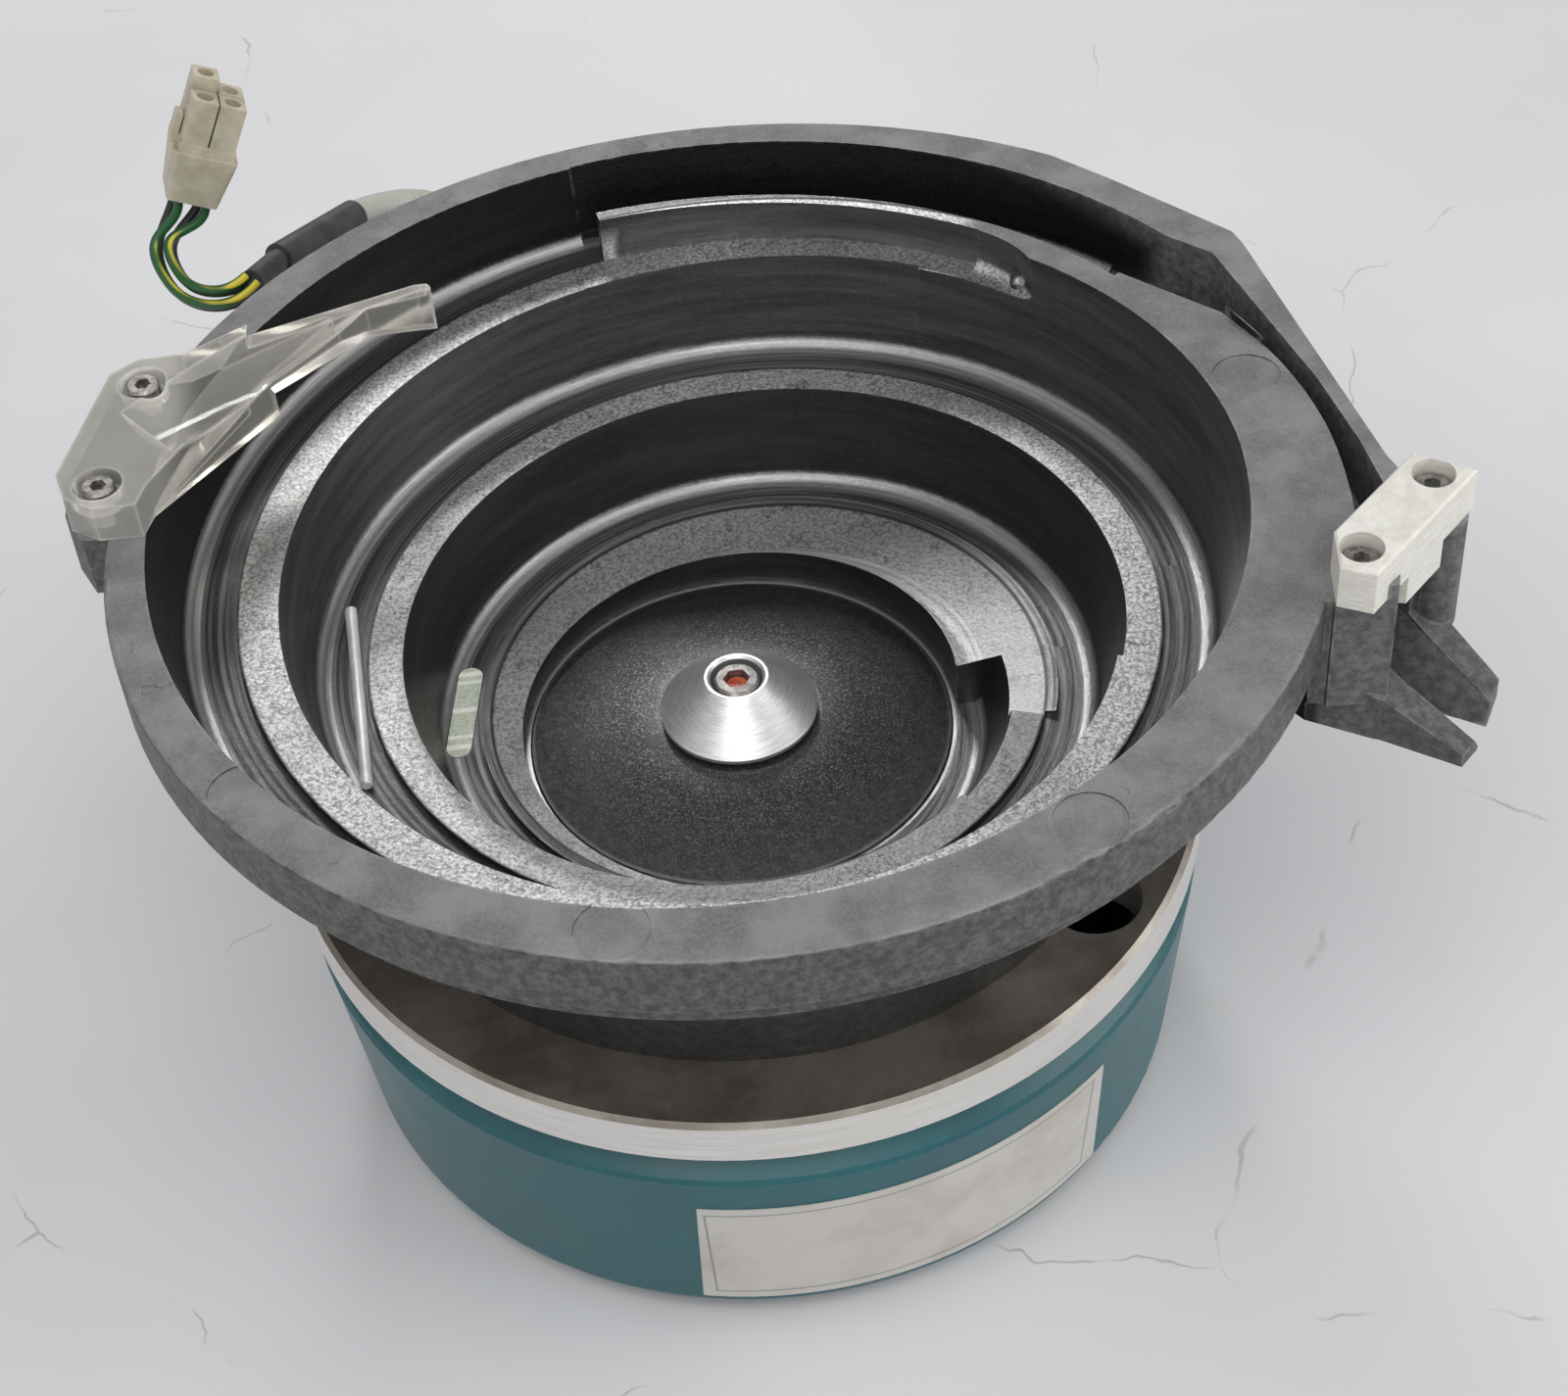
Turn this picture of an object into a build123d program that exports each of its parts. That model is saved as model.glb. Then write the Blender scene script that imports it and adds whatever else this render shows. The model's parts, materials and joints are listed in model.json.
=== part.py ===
"""Vibratory bowl feeder: cast spiral bowl on a sprung, electromagnet-driven drum base.

Millimetres, +Z up. The origin is on the bowl's axis at the level the feet stand on.
"""

import math
import os

from build123d import *

# ---------------------------------------------------------------- driving dimensions
# Drum base
FLOOR_BOTTOM = 4.0
FLOOR_TOP = 12.0
DRUM_R_LOW = 94.3
DRUM_R_HIGH = 99.4
DRUM_SHOULDER_Z = 55.0
DRUM_TOP_Z = 58.0
DRUM_BORE_R = 90.0

# Round plate the bowl stands on
PLATE_R = 100.0
PLATE_Z = 63.0
PLATE_T = 12.0
BOWL_Z = PLATE_Z + PLATE_T
ACCESS_R = 10.2
ACCESS_PCD_R = 85.6
ACCESS_ANGLES = (-35.7, 84.3, 204.3)

# Bowl casting
RIM_Z = 153.5
RIM_R = 123.5
FLANGE_H = 14.5
FOOT_R = 83.8
FLOOR_R = 46.1
FLOOR_Z = 85.2
SEAT_Z = 89.8
SEAT_R = 18.0

# Spiral track: turns are counted clockwise from +X, seen from above
PITCH = 20.5
TRACK_Z = 96.0
FOOT_REF = 71.0
FOOT_GROW = 23.7
EDGE_REF = 75.3
EDGE_GROW = 22.3
WALL_SLOPE = math.tan(math.radians(10.0))
GROOVE_W = 11.4
GROOVE_D = 1.5
FOOT_FILLET = 3.5

# Outlet, in plan: centre of the bridge and the way the parts leave
OUTLET_X = 128.7
OUTLET_Y = -37.5
OUTLET_ANGLE = -44.0

# Drive
SPRING_R = 66.0
SPRING_ANGLES = (24.3, 144.3, 264.3)
SPRING_LEAN = 20.0
SPRING_MID_Z = 37.5
GAP = 0.25


# ---------------------------------------------------------------- helpers
def polar(radius, degrees):
    """Plan position at a radius and an angle from +X."""
    a = math.radians(degrees)
    return (radius * math.cos(a), radius * math.sin(a))


def ring_of(radius, angles, height):
    """Locations spaced round the axis at one height."""
    return Locations(*[(*polar(radius, a), height) for a in angles])


def save(piece, name):
    """Label one finished piece and write it."""
    piece.part.label = name
    export_step(piece.part, f"parts/{name}.step")


# ---------------------------------------------------------------- spiral track
def track_z(turn):
    """Height of the track's flat land."""
    return TRACK_Z + PITCH * (turn - 0.75)


def foot_r(turn):
    """Radius of the foot of the wall outside the track."""
    return FOOT_REF + FOOT_GROW * (turn - 0.75)


def edge_r(turn):
    """Radius of the sharp inner edge of the land."""
    return EDGE_REF + EDGE_GROW * (turn - 1.75)


def turn_angle(turn):
    """Angle from +X, in degrees, of a turn count."""
    return -360.0 * turn


def swept(points, outline):
    """Solid swept along rising points, its outline kept upright and radial."""
    first, last = points[0], points[-1]
    a = math.atan2(first[1], first[0])
    across = Plane(
        origin=first,
        x_dir=(math.cos(a), math.sin(a), 0),
        z_dir=(math.sin(a), -math.cos(a), 0),
    )
    upright = Edge.make_line((0, 0, first[2]), (0, 0, max(last[2], first[2] + 5)))
    with BuildPart(mode=Mode.PRIVATE) as cutter:
        with BuildLine() as path:
            Spline(*points)
        with BuildSketch(across):
            with BuildLine():
                outline()
            make_face()
        sweep(path=path.wires()[0], binormal=upright)
    return cutter.part


def spiral_points(start, end, radius_at):
    """Points up the track between two turn counts."""
    steps = max(3, math.ceil(24 * (end - start)))
    turns = [start + (end - start) * i / steps for i in range(steps + 1)]
    return [(*polar(radius_at(t), turn_angle(t)), track_z(t)) for t in turns]


def track_cutter(start, end, outline):
    """Space over the track between two turn counts, along the wall's foot."""
    return swept(spiral_points(start, end + LAP, foot_r), lambda: outline(start))


def groove_and_foot(land):
    """Land, small step down, groove and the fillet at the wall's foot."""
    Polyline((land, 0), (-GROOVE_W, 0), (-GROOVE_W, -GROOVE_D), (-FOOT_FILLET, -GROOVE_D))
    RadiusArc((-FOOT_FILLET, -GROOVE_D), (0, FOOT_FILLET - GROOVE_D), -FOOT_FILLET)


def inner_outline(turn):
    """Track below another turn: the wall ends at that turn's inner edge."""
    land = edge_r(turn) - foot_r(turn)
    top = edge_r(turn + 1) - foot_r(turn)
    groove_and_foot(land - 1.5)
    Polyline(
        (0, FOOT_FILLET - GROOVE_D),
        (top, PITCH),
        (top - 1.5, PITCH + 1.5),
        (land - 3.0, 1.5),
        (land - 1.5, 0),
    )


def lowest_outline(turn):
    """First turn: a wide band that slopes down to the dished floor."""
    top = edge_r(turn + 1) - foot_r(turn)
    Polyline((-32.0, -4.6), (-9.0, 0), (-9.0, -GROOVE_D), (-FOOT_FILLET, -GROOVE_D))
    RadiusArc((-FOOT_FILLET, -GROOVE_D), (0, FOOT_FILLET - GROOVE_D), -FOOT_FILLET)
    Polyline((0, FOOT_FILLET - GROOVE_D), (top, PITCH), (top - 1.5, PITCH + 1.5), (-32.0, PITCH + 1.5))
    Line((-32.0, PITCH + 1.5), (-32.0, -4.6))


def outer_outline(turn):
    """Top turn: the wall runs on up past the rim."""
    land = edge_r(turn) - foot_r(turn)
    top = edge_r(turn + 1) - foot_r(turn)
    rise = RIM_Z + 12.0 - track_z(turn)
    groove_and_foot(land - 1.5)
    Polyline(
        (0, FOOT_FILLET - GROOVE_D),
        (top, PITCH),
        (rise * WALL_SLOPE, rise),
        (land - 1.5, rise),
        (land - 1.5, 0),
    )


def channel_outline(turn):
    """Outer half of the channel, with the outer wall, open above."""
    rise = RIM_Z + 12.0 - track_z(turn)
    Polyline((-5, rise), (-5, -GROOVE_D), (-FOOT_FILLET, -GROOVE_D))
    RadiusArc((-FOOT_FILLET, -GROOVE_D), (0, FOOT_FILLET - GROOVE_D), -FOOT_FILLET)
    Polyline((0, FOOT_FILLET - GROOVE_D), (rise * WALL_SLOPE, rise), (-5, rise))


def level_cutter(start, end, radius, reach, drop):
    """Space over a band of the track at a fixed distance from the axis."""
    x0, x1 = min(0, reach), max(0, reach)
    corners = ((x0, -drop), (x1, -drop), (x1, 40), (x0, 40), (x0, -drop))
    return swept(spiral_points(start, end, lambda t: radius), lambda: Polyline(*corners))


# Turn counts where the track changes section
START_TURN = 0.27
RAMP_END = 0.275
LAP = 0.004
UNDER_TURN = 1.05
FREE_TURN = 1.83
SPLIT_TURN = 2.715
SCOOP_ANGLE = 53.0
LAND_END = 3.0 - SCOOP_ANGLE / 360.0
CHANNEL_END = 2.905
DIVIDER_R = 106.0
DIVIDER_T = 3.4
DIVIDER_FALL = 6.8 / 120.0
SCOOP_R = 28.0

# Middles of the ejector pins' marks on the rim, and of the one on the sloping divider
EJECTOR_MARKS = ((-92, -71), (-26, -113.5), (60, -99.5))
SLOPING_MARK = (111.5, 21.0)


# ---------------------------------------------------------------- bowl
def funnel_z(radius):
    """Height of the cone that carries every turn's inner edge."""
    return track_z(1.75) + (radius - EDGE_REF) * PITCH / EDGE_GROW


def bowl_blank():
    """Turned outside of the casting: foot, flare and rim flange."""
    with BuildPart(mode=Mode.PRIVATE) as piece:
        with BuildSketch(Plane.XZ):
            with BuildLine():
                Polyline((0, BOWL_Z), (FOOT_R, BOWL_Z), (FOOT_R + 0.6, BOWL_Z + 4), (FOOT_R + 3, 92))
                Polyline((FOOT_R + 3, 92), (119.5, 133), (119.5, RIM_Z - FLANGE_H))
                Polyline((119.5, RIM_Z - FLANGE_H), (RIM_R - 1.5, RIM_Z - FLANGE_H))
                RadiusArc((RIM_R - 1.5, RIM_Z - FLANGE_H), (RIM_R, RIM_Z - FLANGE_H + 1.5), -1.5)
                Line((RIM_R, RIM_Z - FLANGE_H + 1.5), (RIM_R, RIM_Z - 1.0))
                RadiusArc((RIM_R, RIM_Z - 1.0), (RIM_R - 1.0, RIM_Z), -1.0)
                Polyline((RIM_R - 1.0, RIM_Z), (0, RIM_Z), (0, BOWL_Z))
            make_face()
        revolve(axis=Axis.Z)
    return piece.part


def wing_outline(grow):
    """Plan of the casting outside the spiral's last half turn."""
    Polyline((-60, -60), (-122.6 - grow, -8), (-120.0 - grow, 40), (-108.5 - grow, 65))
    ThreePointArc((-108.5 - grow, 65), (-72 - grow, 104.5 + grow), (-20, 126.0 + grow))
    ThreePointArc((-20, 126.0 + grow), (36, 124.3 + grow), (83, 103.5 + grow))
    Polyline(
        (83, 103.5 + grow),
        (94 + grow, 93 + grow),
        (117.5 + grow, 68.5),
        (119.0 + grow, 64),
        (133.6 + grow, -10),
        (139.5 + grow, -27),
        (128, -40),
        (60, -60),
        (-60, -60),
    )


def bowl_wing():
    """Outer wall that winds out from the round rim, stepped in underneath."""
    with BuildPart(mode=Mode.PRIVATE) as piece:
        with BuildSketch(Plane.XY.offset(RIM_Z)):
            with BuildLine():
                wing_outline(0)
            make_face()
        extrude(amount=-FLANGE_H - 9.0)
        with BuildSketch(Plane.XY.offset(RIM_Z - FLANGE_H - 9.0)):
            with BuildLine():
                wing_outline(-5.0)
            make_face()
        extrude(amount=-9.0)
    return piece.part


def outlet_plane(height):
    """Plane at the outlet: local x the way the parts leave, local y across."""
    a = math.radians(OUTLET_ANGLE)
    return Plane(
        origin=(OUTLET_X, OUTLET_Y, height),
        x_dir=(math.cos(a), math.sin(a), 0),
        z_dir=(0, 0, 1),
    )


def outlet_side_plane(across):
    """Upright plane along the way the parts leave: local y up."""
    a = math.radians(OUTLET_ANGLE)
    side = Vector(-math.sin(a), math.cos(a), 0) * across
    return Plane(
        origin=(OUTLET_X + side.X, OUTLET_Y + side.Y, 0),
        x_dir=(math.cos(a), math.sin(a), 0),
        z_dir=(math.sin(a), -math.cos(a), 0),
    )


BRIDGE_HALF = 13.0
POST_Z = 126.0


def outlet_section_plane(along):
    """Upright plane across the way the parts leave: local x across, local y up."""
    a = math.radians(OUTLET_ANGLE)
    return Plane(
        origin=(OUTLET_X + along * math.cos(a), OUTLET_Y + along * math.sin(a), 0),
        x_dir=(-math.sin(a), math.cos(a), 0),
        z_dir=(math.cos(a), math.sin(a), 0),
    )


def outlet_trough():
    """Sloping body under the outlet that ends in two prongs."""
    with BuildPart(mode=Mode.PRIVATE) as piece:
        with BuildSketch(outlet_side_plane(0)):
            with BuildLine():
                Polyline(
                    (-30, 124),
                    (-30, 134),
                    (0, 131),
                    (8, 127.4),
                    (25.8, 121.2),
                    (25.8, 118.2),
                    (7, 116.5),
                    (-8, 118.5),
                    (-30, 124),
                )
            make_face()
        extrude(amount=30, both=True)
        with BuildSketch(outlet_plane(100)):
            with BuildLine():
                Polyline(
                    (-30, -16),
                    (-6, -18.5),
                    (8, -13.2),
                    (25.6, -11.6),
                    (25.6, -6.0),
                    (23.4, 2.4),
                    (21.2, 9.6),
                    (7, 13.6),
                    (-8, 17.5),
                    (-30, 16),
                    (-30, -16),
                )
            make_face()
        extrude(amount=60, mode=Mode.INTERSECT)
    return piece.part


def trough_cut():
    """V-shaped space between the prongs, falling toward their tips."""
    with BuildPart(mode=Mode.PRIVATE) as piece:
        with BuildSketch(outlet_section_plane(-6)):
            with BuildLine():
                Polyline((-5, 160), (-5, 131.8), (2, 122.5), (9.5, 131.8), (9.5, 160), (-5, 160))
            make_face()
        with BuildSketch(outlet_section_plane(27)):
            with BuildLine():
                Polyline((-6.9, 160), (-6.9, 120.5), (-2.2, 113.3), (2.6, 120.5), (2.6, 160), (-6.9, 160))
            make_face()
        loft(ruled=True)
    return piece.part


def outlet_posts():
    """Posts either side of the channel that the bridge is screwed to."""
    with BuildPart(mode=Mode.PRIVATE) as piece:
        with BuildSketch(Plane.XY.offset(POST_Z)):
            with BuildLine():
                Polyline(
                    (106, -40),
                    (111.0, -49.6),
                    (114.2, -50.2),
                    (114.4, -51.2),
                    (126.4, -51.2),
                    (128.3, -44),
                    (119.5, -35.5),
                    (106, -40),
                )
            make_face()
        extrude(amount=RIM_Z - POST_Z)
        with BuildSketch(outlet_plane(RIM_Z)):
            with BuildLine():
                Polyline((6.4, -12.9), (7.87, -11.45), (6.4, -8.85), (6.4, -12.9))
            make_face()
        extrude(amount=3.6)
        with BuildSketch(outlet_plane(POST_Z)):
            with Locations((-2.4, 13.4)):
                Rectangle(9, 7.8)
            with Locations((2.2, 14.6)):
                Circle(5.0)
        extrude(amount=RIM_Z - POST_Z)
    return piece.part


def chute():
    """Space of the channel from the outer wall's corner out between the two posts."""
    floor = track_z(CHANNEL_END) - GROOVE_D
    with BuildPart(mode=Mode.PRIVATE) as piece:
        with BuildSketch(Plane.XY.offset(floor)):
            with BuildLine():
                Line(polar(109.4, 40.0), (110.5, 44))
                Spline((110.5, 44), (120.2, 21), (124.2, -3), (123.8, -25))
                Polyline(
                    (123.8, -25),
                    (123.8, -39.7),
                    (133.8, -49.4),
                    (143.9, -39.0),
                    (133.9, -29.3),
                    (131.9, -24),
                    (129.3, -4),
                    (125.2, 16),
                    (112.0, 61.5),
                    polar(121.6, 40.0),
                    polar(109.4, 40.0),
                )
            make_face()
        extrude(amount=40)
    return piece.part


def funnel():
    """Space above the dished floor and the cone through the inner edges."""
    lip = FLOOR_R + 1.2
    edge = edge_r(UNDER_TURN)
    reach = edge_r(LAND_END) + 0.4
    with BuildPart(mode=Mode.PRIVATE) as piece:
        with BuildSketch(Plane.XZ):
            with BuildLine():
                Polyline(
                    (0, FLOOR_Z - 0.5),
                    (lip, FLOOR_Z - 0.5),
                    (lip, 98.0),
                    (edge, funnel_z(edge)),
                    (reach, funnel_z(reach)),
                    (reach, RIM_Z + 5),
                    (0, RIM_Z + 5),
                    (0, FLOOR_Z - 0.5),
                )
            make_face()
        revolve(axis=Axis.Z)
    return piece.part


def dished_floor():
    """Floor disc inside the ring line, highest under the clamp."""
    with BuildPart(mode=Mode.PRIVATE) as piece:
        with BuildSketch(Plane.XZ):
            with BuildLine():
                Polyline((0, 78), (FLOOR_R, 78), (FLOOR_R, FLOOR_Z - 0.4), (FLOOR_R - 0.4, FLOOR_Z))
                ThreePointArc((FLOOR_R - 0.4, FLOOR_Z), (33.0, FLOOR_Z + 2.6), (SEAT_R, SEAT_Z))
                Polyline((SEAT_R, SEAT_Z), (0, SEAT_Z), (0, 78))
            make_face()
        revolve(axis=Axis.Z)
    return piece.part


def ramp_outline():
    """Level start of the track: floor, foot fillet and wall."""
    top = edge_r(1.0) - foot_r(0.0)
    Polyline((-18, 0), (-FOOT_FILLET, 0))
    RadiusArc((-FOOT_FILLET, 0), (0, FOOT_FILLET), -FOOT_FILLET)
    Polyline((0, FOOT_FILLET), (top + 0.5, 18.5), (-18, 18.5), (-18, 0))


def ramp_cutter():
    """Space over the level start of the track beside the floor."""
    turns = [RAMP_END * i / 5 for i in range(6)]
    height = FLOOR_Z + 0.2
    return swept([(*polar(foot_r(t), turn_angle(t)), height) for t in turns], ramp_outline)


def scoop():
    """Rounded end of the top land, open above, with a small cast hollow in its wall."""
    with BuildPart(mode=Mode.PRIVATE) as piece:
        with Locations((*polar(DIVIDER_R - SCOOP_R, SCOOP_ANGLE), track_z(LAND_END))):
            Cylinder(SCOOP_R, 40, align=(Align.CENTER, Align.CENTER, Align.MIN))
        fillet(piece.edges().sort_by(Axis.Z)[0], 3.5)
        with Locations((*polar(103.6, 46.5), track_z(LAND_END) + 2.2)):
            Sphere(2.4)
    return piece.part


def divider_trim():
    """Space above the sloping top of the wall inside the outer channel."""
    inner = DIVIDER_R - 8.0
    outer = DIVIDER_R + DIVIDER_T + 1.0
    with BuildPart(mode=Mode.PRIVATE) as piece:
        with BuildSketch(Plane.YZ):
            with BuildLine():
                Polyline((0, RIM_Z), (120, RIM_Z - 120 * DIVIDER_FALL), (120, RIM_Z + 5), (0, RIM_Z + 5), (0, RIM_Z))
            make_face()
        extrude(amount=130, both=True)
        with BuildSketch(Plane.XY.offset(100)):
            with BuildLine():
                ThreePointArc(polar(inner, 112.0), polar(inner, 60.0), polar(inner, 1.0))
                Polyline(polar(inner, 1.0), polar(RIM_R + 1, 1.0), (121.5, 21.0), (108.5, 48.5), polar(outer, 42.0))
                ThreePointArc(polar(outer, 42.0), polar(outer, 75.0), polar(outer, 112.0))
                Line(polar(outer, 112.0), polar(inner, 112.0))
            make_face()
        extrude(amount=80, mode=Mode.INTERSECT)
    return piece.part


def pilot_holes():
    """Blind holes in the rim for the bridge's and the guide's screws."""
    with BuildPart(mode=Mode.PRIVATE) as piece:
        with BuildSketch(outlet_plane(RIM_Z)):
            with Locations((0, -BRIDGE_HALF), (0, BRIDGE_HALF)):
                Circle(1.7)
        extrude(amount=-13.0)
        with BuildSketch(Plane.XY.offset(RIM_Z)):
            with Locations(*GUIDE_SCREWS):
                Circle(1.7)
        extrude(amount=-10.0)
    return piece.part


def ejector_marks():
    """Shallow round marks left on the rim by the mould's ejector pins."""
    x, y = SLOPING_MARK
    tilt = -math.degrees(math.atan(DIVIDER_FALL))
    with BuildPart(mode=Mode.PRIVATE) as piece:
        with Locations(*[(x, y, RIM_Z) for x, y in EJECTOR_MARKS]):
            Cylinder(7.0, 0.5)
        with Locations(Location((x, y, RIM_Z - y * DIVIDER_FALL), (tilt, 0, 0))):
            Cylinder(7.0, 0.5)
    return piece.part


def underside_recess():
    """Shallow cast recess between the middle boss and the foot ring."""
    with BuildPart(mode=Mode.PRIVATE) as piece:
        with BuildSketch(Plane.XZ):
            with BuildLine():
                Polyline((25, BOWL_Z - 1), (24, BOWL_Z + 4.5), (74, BOWL_Z + 4.5), (73, BOWL_Z - 1), (25, BOWL_Z - 1))
            make_face()
        revolve(axis=Axis.Z)
    return piece.part


def build_bowl():
    """Cast bowl with its spiral track, outer channel and outlet."""
    cuts = (
        funnel(),
        ramp_cutter(),
        track_cutter(START_TURN, UNDER_TURN, lowest_outline),
        track_cutter(UNDER_TURN, FREE_TURN, inner_outline),
        track_cutter(FREE_TURN, SPLIT_TURN, outer_outline),
        track_cutter(SPLIT_TURN, CHANNEL_END, channel_outline),
        level_cutter(SPLIT_TURN, LAND_END, DIVIDER_R, -11.0, 0.0),
        level_cutter(SPLIT_TURN, CHANNEL_END, DIVIDER_R + DIVIDER_T, 8.0, GROOVE_D),
        scoop(),
        chute(),
        trough_cut(),
        divider_trim(),
    )
    with BuildPart() as bowl:
        add(bowl_blank())
        add(bowl_wing())
        add(bowl_lug())
        add(outlet_trough())
        add(outlet_posts())
        for space in cuts:
            add(space, mode=Mode.SUBTRACT)
        add(dished_floor())
        add(reflector_blank(5.7, 26.3, -1.35, 7.0), mode=Mode.SUBTRACT)
        add(underside_recess(), mode=Mode.SUBTRACT)
        add(pilot_holes(), mode=Mode.SUBTRACT)
        with Locations((0, 0, BOWL_Z)):
            Cylinder(3.3, 60, mode=Mode.SUBTRACT)
        add(ejector_marks(), mode=Mode.SUBTRACT)
    return bowl


# ---------------------------------------------------------------- clamp in the bowl's middle
CONE_TOP = 100.7
CONE_SEAT = 94.4


def build_clamp_cone():
    """Turned cone that presses the bowl on to its seat."""
    with BuildPart() as piece:
        with BuildSketch(Plane.XZ):
            with BuildLine():
                Polyline(
                    (3.3, SEAT_Z),
                    (15.6, SEAT_Z),
                    (15.6, SEAT_Z + 1.3),
                    (17.0, SEAT_Z + 1.3),
                    (17.0, SEAT_Z + 2.2),
                    (7.4, CONE_TOP - 0.4),
                    (6.9, CONE_TOP),
                    (6.3, CONE_TOP),
                    (5.8, CONE_TOP - 0.5),
                    (5.8, CONE_SEAT),
                    (3.3, CONE_SEAT),
                    (3.3, SEAT_Z),
                )
            make_face()
        revolve(axis=Axis.Z)
    return piece


def socket_screw(head_r, head_h, shank_r, length, socket_r, socket_d):
    """Hex socket screw standing on z = 0 under its head, shank downward."""
    with BuildPart(mode=Mode.PRIVATE) as piece:
        Cylinder(head_r, head_h, align=(Align.CENTER, Align.CENTER, Align.MIN))
        top = piece.faces().sort_by(Axis.Z)[-1]
        chamfer(top.edges(), 0.12 * head_r)
        Cylinder(shank_r, length, align=(Align.CENTER, Align.CENTER, Align.MAX))
        with BuildSketch(Plane.XY.offset(head_h)):
            RegularPolygon(socket_r, 6)
        extrude(amount=-socket_d, mode=Mode.SUBTRACT)
    return piece.part


def placed_screws(screw, places):
    """One node holding the same screw at several locations."""
    with BuildPart() as piece:
        for place in places:
            add(screw.moved(place))
    return piece


def build_clamp_screw():
    """Socket screw through cone, bowl and plate into the armature block."""
    screw = socket_screw(4.95, 5.6, 2.95, 36.0, 2.95, 3.0)
    return placed_screws(screw, [Location((0, 0, CONE_SEAT))])


def build_lacquer():
    """Dab of sealing lacquer in the clamp screw's socket."""
    with BuildPart() as piece:
        with BuildSketch(Plane.XY.offset(CONE_SEAT + 2.6)):
            Circle(2.3)
        extrude(amount=1.2)
    return piece


# ---------------------------------------------------------------- plate
HUB_R = 21.0
HUB_H = 9.0
HUB_SCREWS = [(*polar(14.0, a), 0) for a in (0, 90, 180, 270)]


def build_top_plate():
    """Machined round plate with three access holes and a rebated rim."""
    with BuildPart() as piece:
        with BuildSketch(Plane.XZ):
            with BuildLine():
                Polyline(
                    (3.3, PLATE_Z),
                    (PLATE_R - 1.0, PLATE_Z),
                    (PLATE_R, PLATE_Z + 1.0),
                    (PLATE_R, BOWL_Z - 1.1),
                    (PLATE_R - 1.1, BOWL_Z),
                    (3.3, BOWL_Z),
                    (3.3, PLATE_Z),
                )
            make_face()
        revolve(axis=Axis.Z)
        with ring_of(ACCESS_PCD_R, ACCESS_ANGLES, PLATE_Z):
            Cylinder(ACCESS_R, 40, mode=Mode.SUBTRACT)
        with Locations(*HUB_SCREWS):
            Cylinder(2.2, 200, mode=Mode.SUBTRACT)
        with Locations(*HUB_SCREWS):
            with Locations((0, 0, BOWL_Z)):
                Cylinder(4.3, 9.0, mode=Mode.SUBTRACT)
        for place in upper_screw_places():
            with Locations(place):
                Cylinder(2.7, 60, mode=Mode.SUBTRACT)
            with Locations(place):
                with Locations((0, 0, 0)):
                    Cylinder(5.2, 12, align=(Align.CENTER, Align.CENTER, Align.MIN), mode=Mode.SUBTRACT)
    return piece


def spring_axes(angle):
    """Location on the spring circle: x outward, y counter-clockwise, z up."""
    return Location((*polar(SPRING_R, angle), 0), (0, 0, angle))


def upper_screw_places():
    """Seats of the screws that hold the upper clamp blocks to the plate."""
    seat = BOWL_Z - 6.0
    places = []
    for angle in SPRING_ANGLES:
        for x in (-8.0, 8.0):
            places.append(spring_axes(angle) * Location((x, BLOCK_Y, seat)))
    return places


# ---------------------------------------------------------------- leaf springs
LEAF_W = 26.0
LEAF_T = 1.4
LEAF_LEN = 47.0
PACK_T = 3.4
CLAMP_H = 13.0
CLAMP_MID = 16.0
BAR_T = 5.0
BLOCK_T = 17.0
BLOCK_Y = 15.5


def leaf_frame(angle):
    """Location at a leaf pack's middle, leaning the way the bowl is thrown."""
    return spring_axes(angle) * Location((0, 0, SPRING_MID_Z), (-SPRING_LEAN, 0, 0))


def leaf_pack(angle):
    """Two glass-fibre leaves with spacers at both ends."""
    with BuildPart() as piece:
        with Locations(leaf_frame(angle)):
            for y in (-1, 1):
                with Locations((0, y * (PACK_T - LEAF_T) / 2, 0)):
                    Box(LEAF_W, LEAF_T, LEAF_LEN)
            for z in (-1, 1):
                with Locations((0, 0, z * CLAMP_MID)):
                    Box(LEAF_W, PACK_T, CLAMP_H)
            for z in (-1, 1):
                for x in (-8.0, 8.0):
                    with Locations(Location((x, 0, z * CLAMP_MID), (90, 0, 0))):
                        Cylinder(3.3, 30, mode=Mode.SUBTRACT)
    return piece


def clamp_block(side):
    """Blocks the leaves are bolted against, cut level at floor or plate."""
    level = FLOOR_TOP if side < 0 else PLATE_Z
    offset = side * (PACK_T / 2 + GAP + BLOCK_T / 2)
    with BuildPart() as piece:
        for angle in SPRING_ANGLES:
            with Locations(leaf_frame(angle)):
                with Locations((0, offset, side * (CLAMP_MID + 3.0))):
                    Box(LEAF_W, BLOCK_T, CLAMP_H + 12.0)
        with Locations((0, 0, (FLOOR_TOP + PLATE_Z) / 2)):
            Cylinder(200, PLATE_Z - FLOOR_TOP, mode=Mode.INTERSECT)
        for angle in SPRING_ANGLES:
            with Locations(leaf_frame(angle)):
                for x in (-8.0, 8.0):
                    with Locations(Location((x, 0, side * CLAMP_MID), (90, 0, 0))):
                        Cylinder(2.1, 60, mode=Mode.SUBTRACT)
            with Locations(spring_axes(angle)):
                for x in (-8.0, 8.0):
                    with Locations((x, side * BLOCK_Y, level)):
                        Cylinder(2.1, 24, mode=Mode.SUBTRACT)
    return piece


def clamp_bar(side):
    """Flat bars that press the leaves against their blocks."""
    offset = -side * (PACK_T / 2 + GAP + BAR_T / 2)
    with BuildPart() as piece:
        for angle in SPRING_ANGLES:
            with Locations(leaf_frame(angle)):
                with Locations((0, offset, side * CLAMP_MID)):
                    Box(LEAF_W, BAR_T, CLAMP_H)
                for x in (-8.0, 8.0):
                    with Locations(Location((x, 0, side * CLAMP_MID), (90, 0, 0))):
                        Cylinder(2.8, 60, mode=Mode.SUBTRACT)
    return piece


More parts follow.
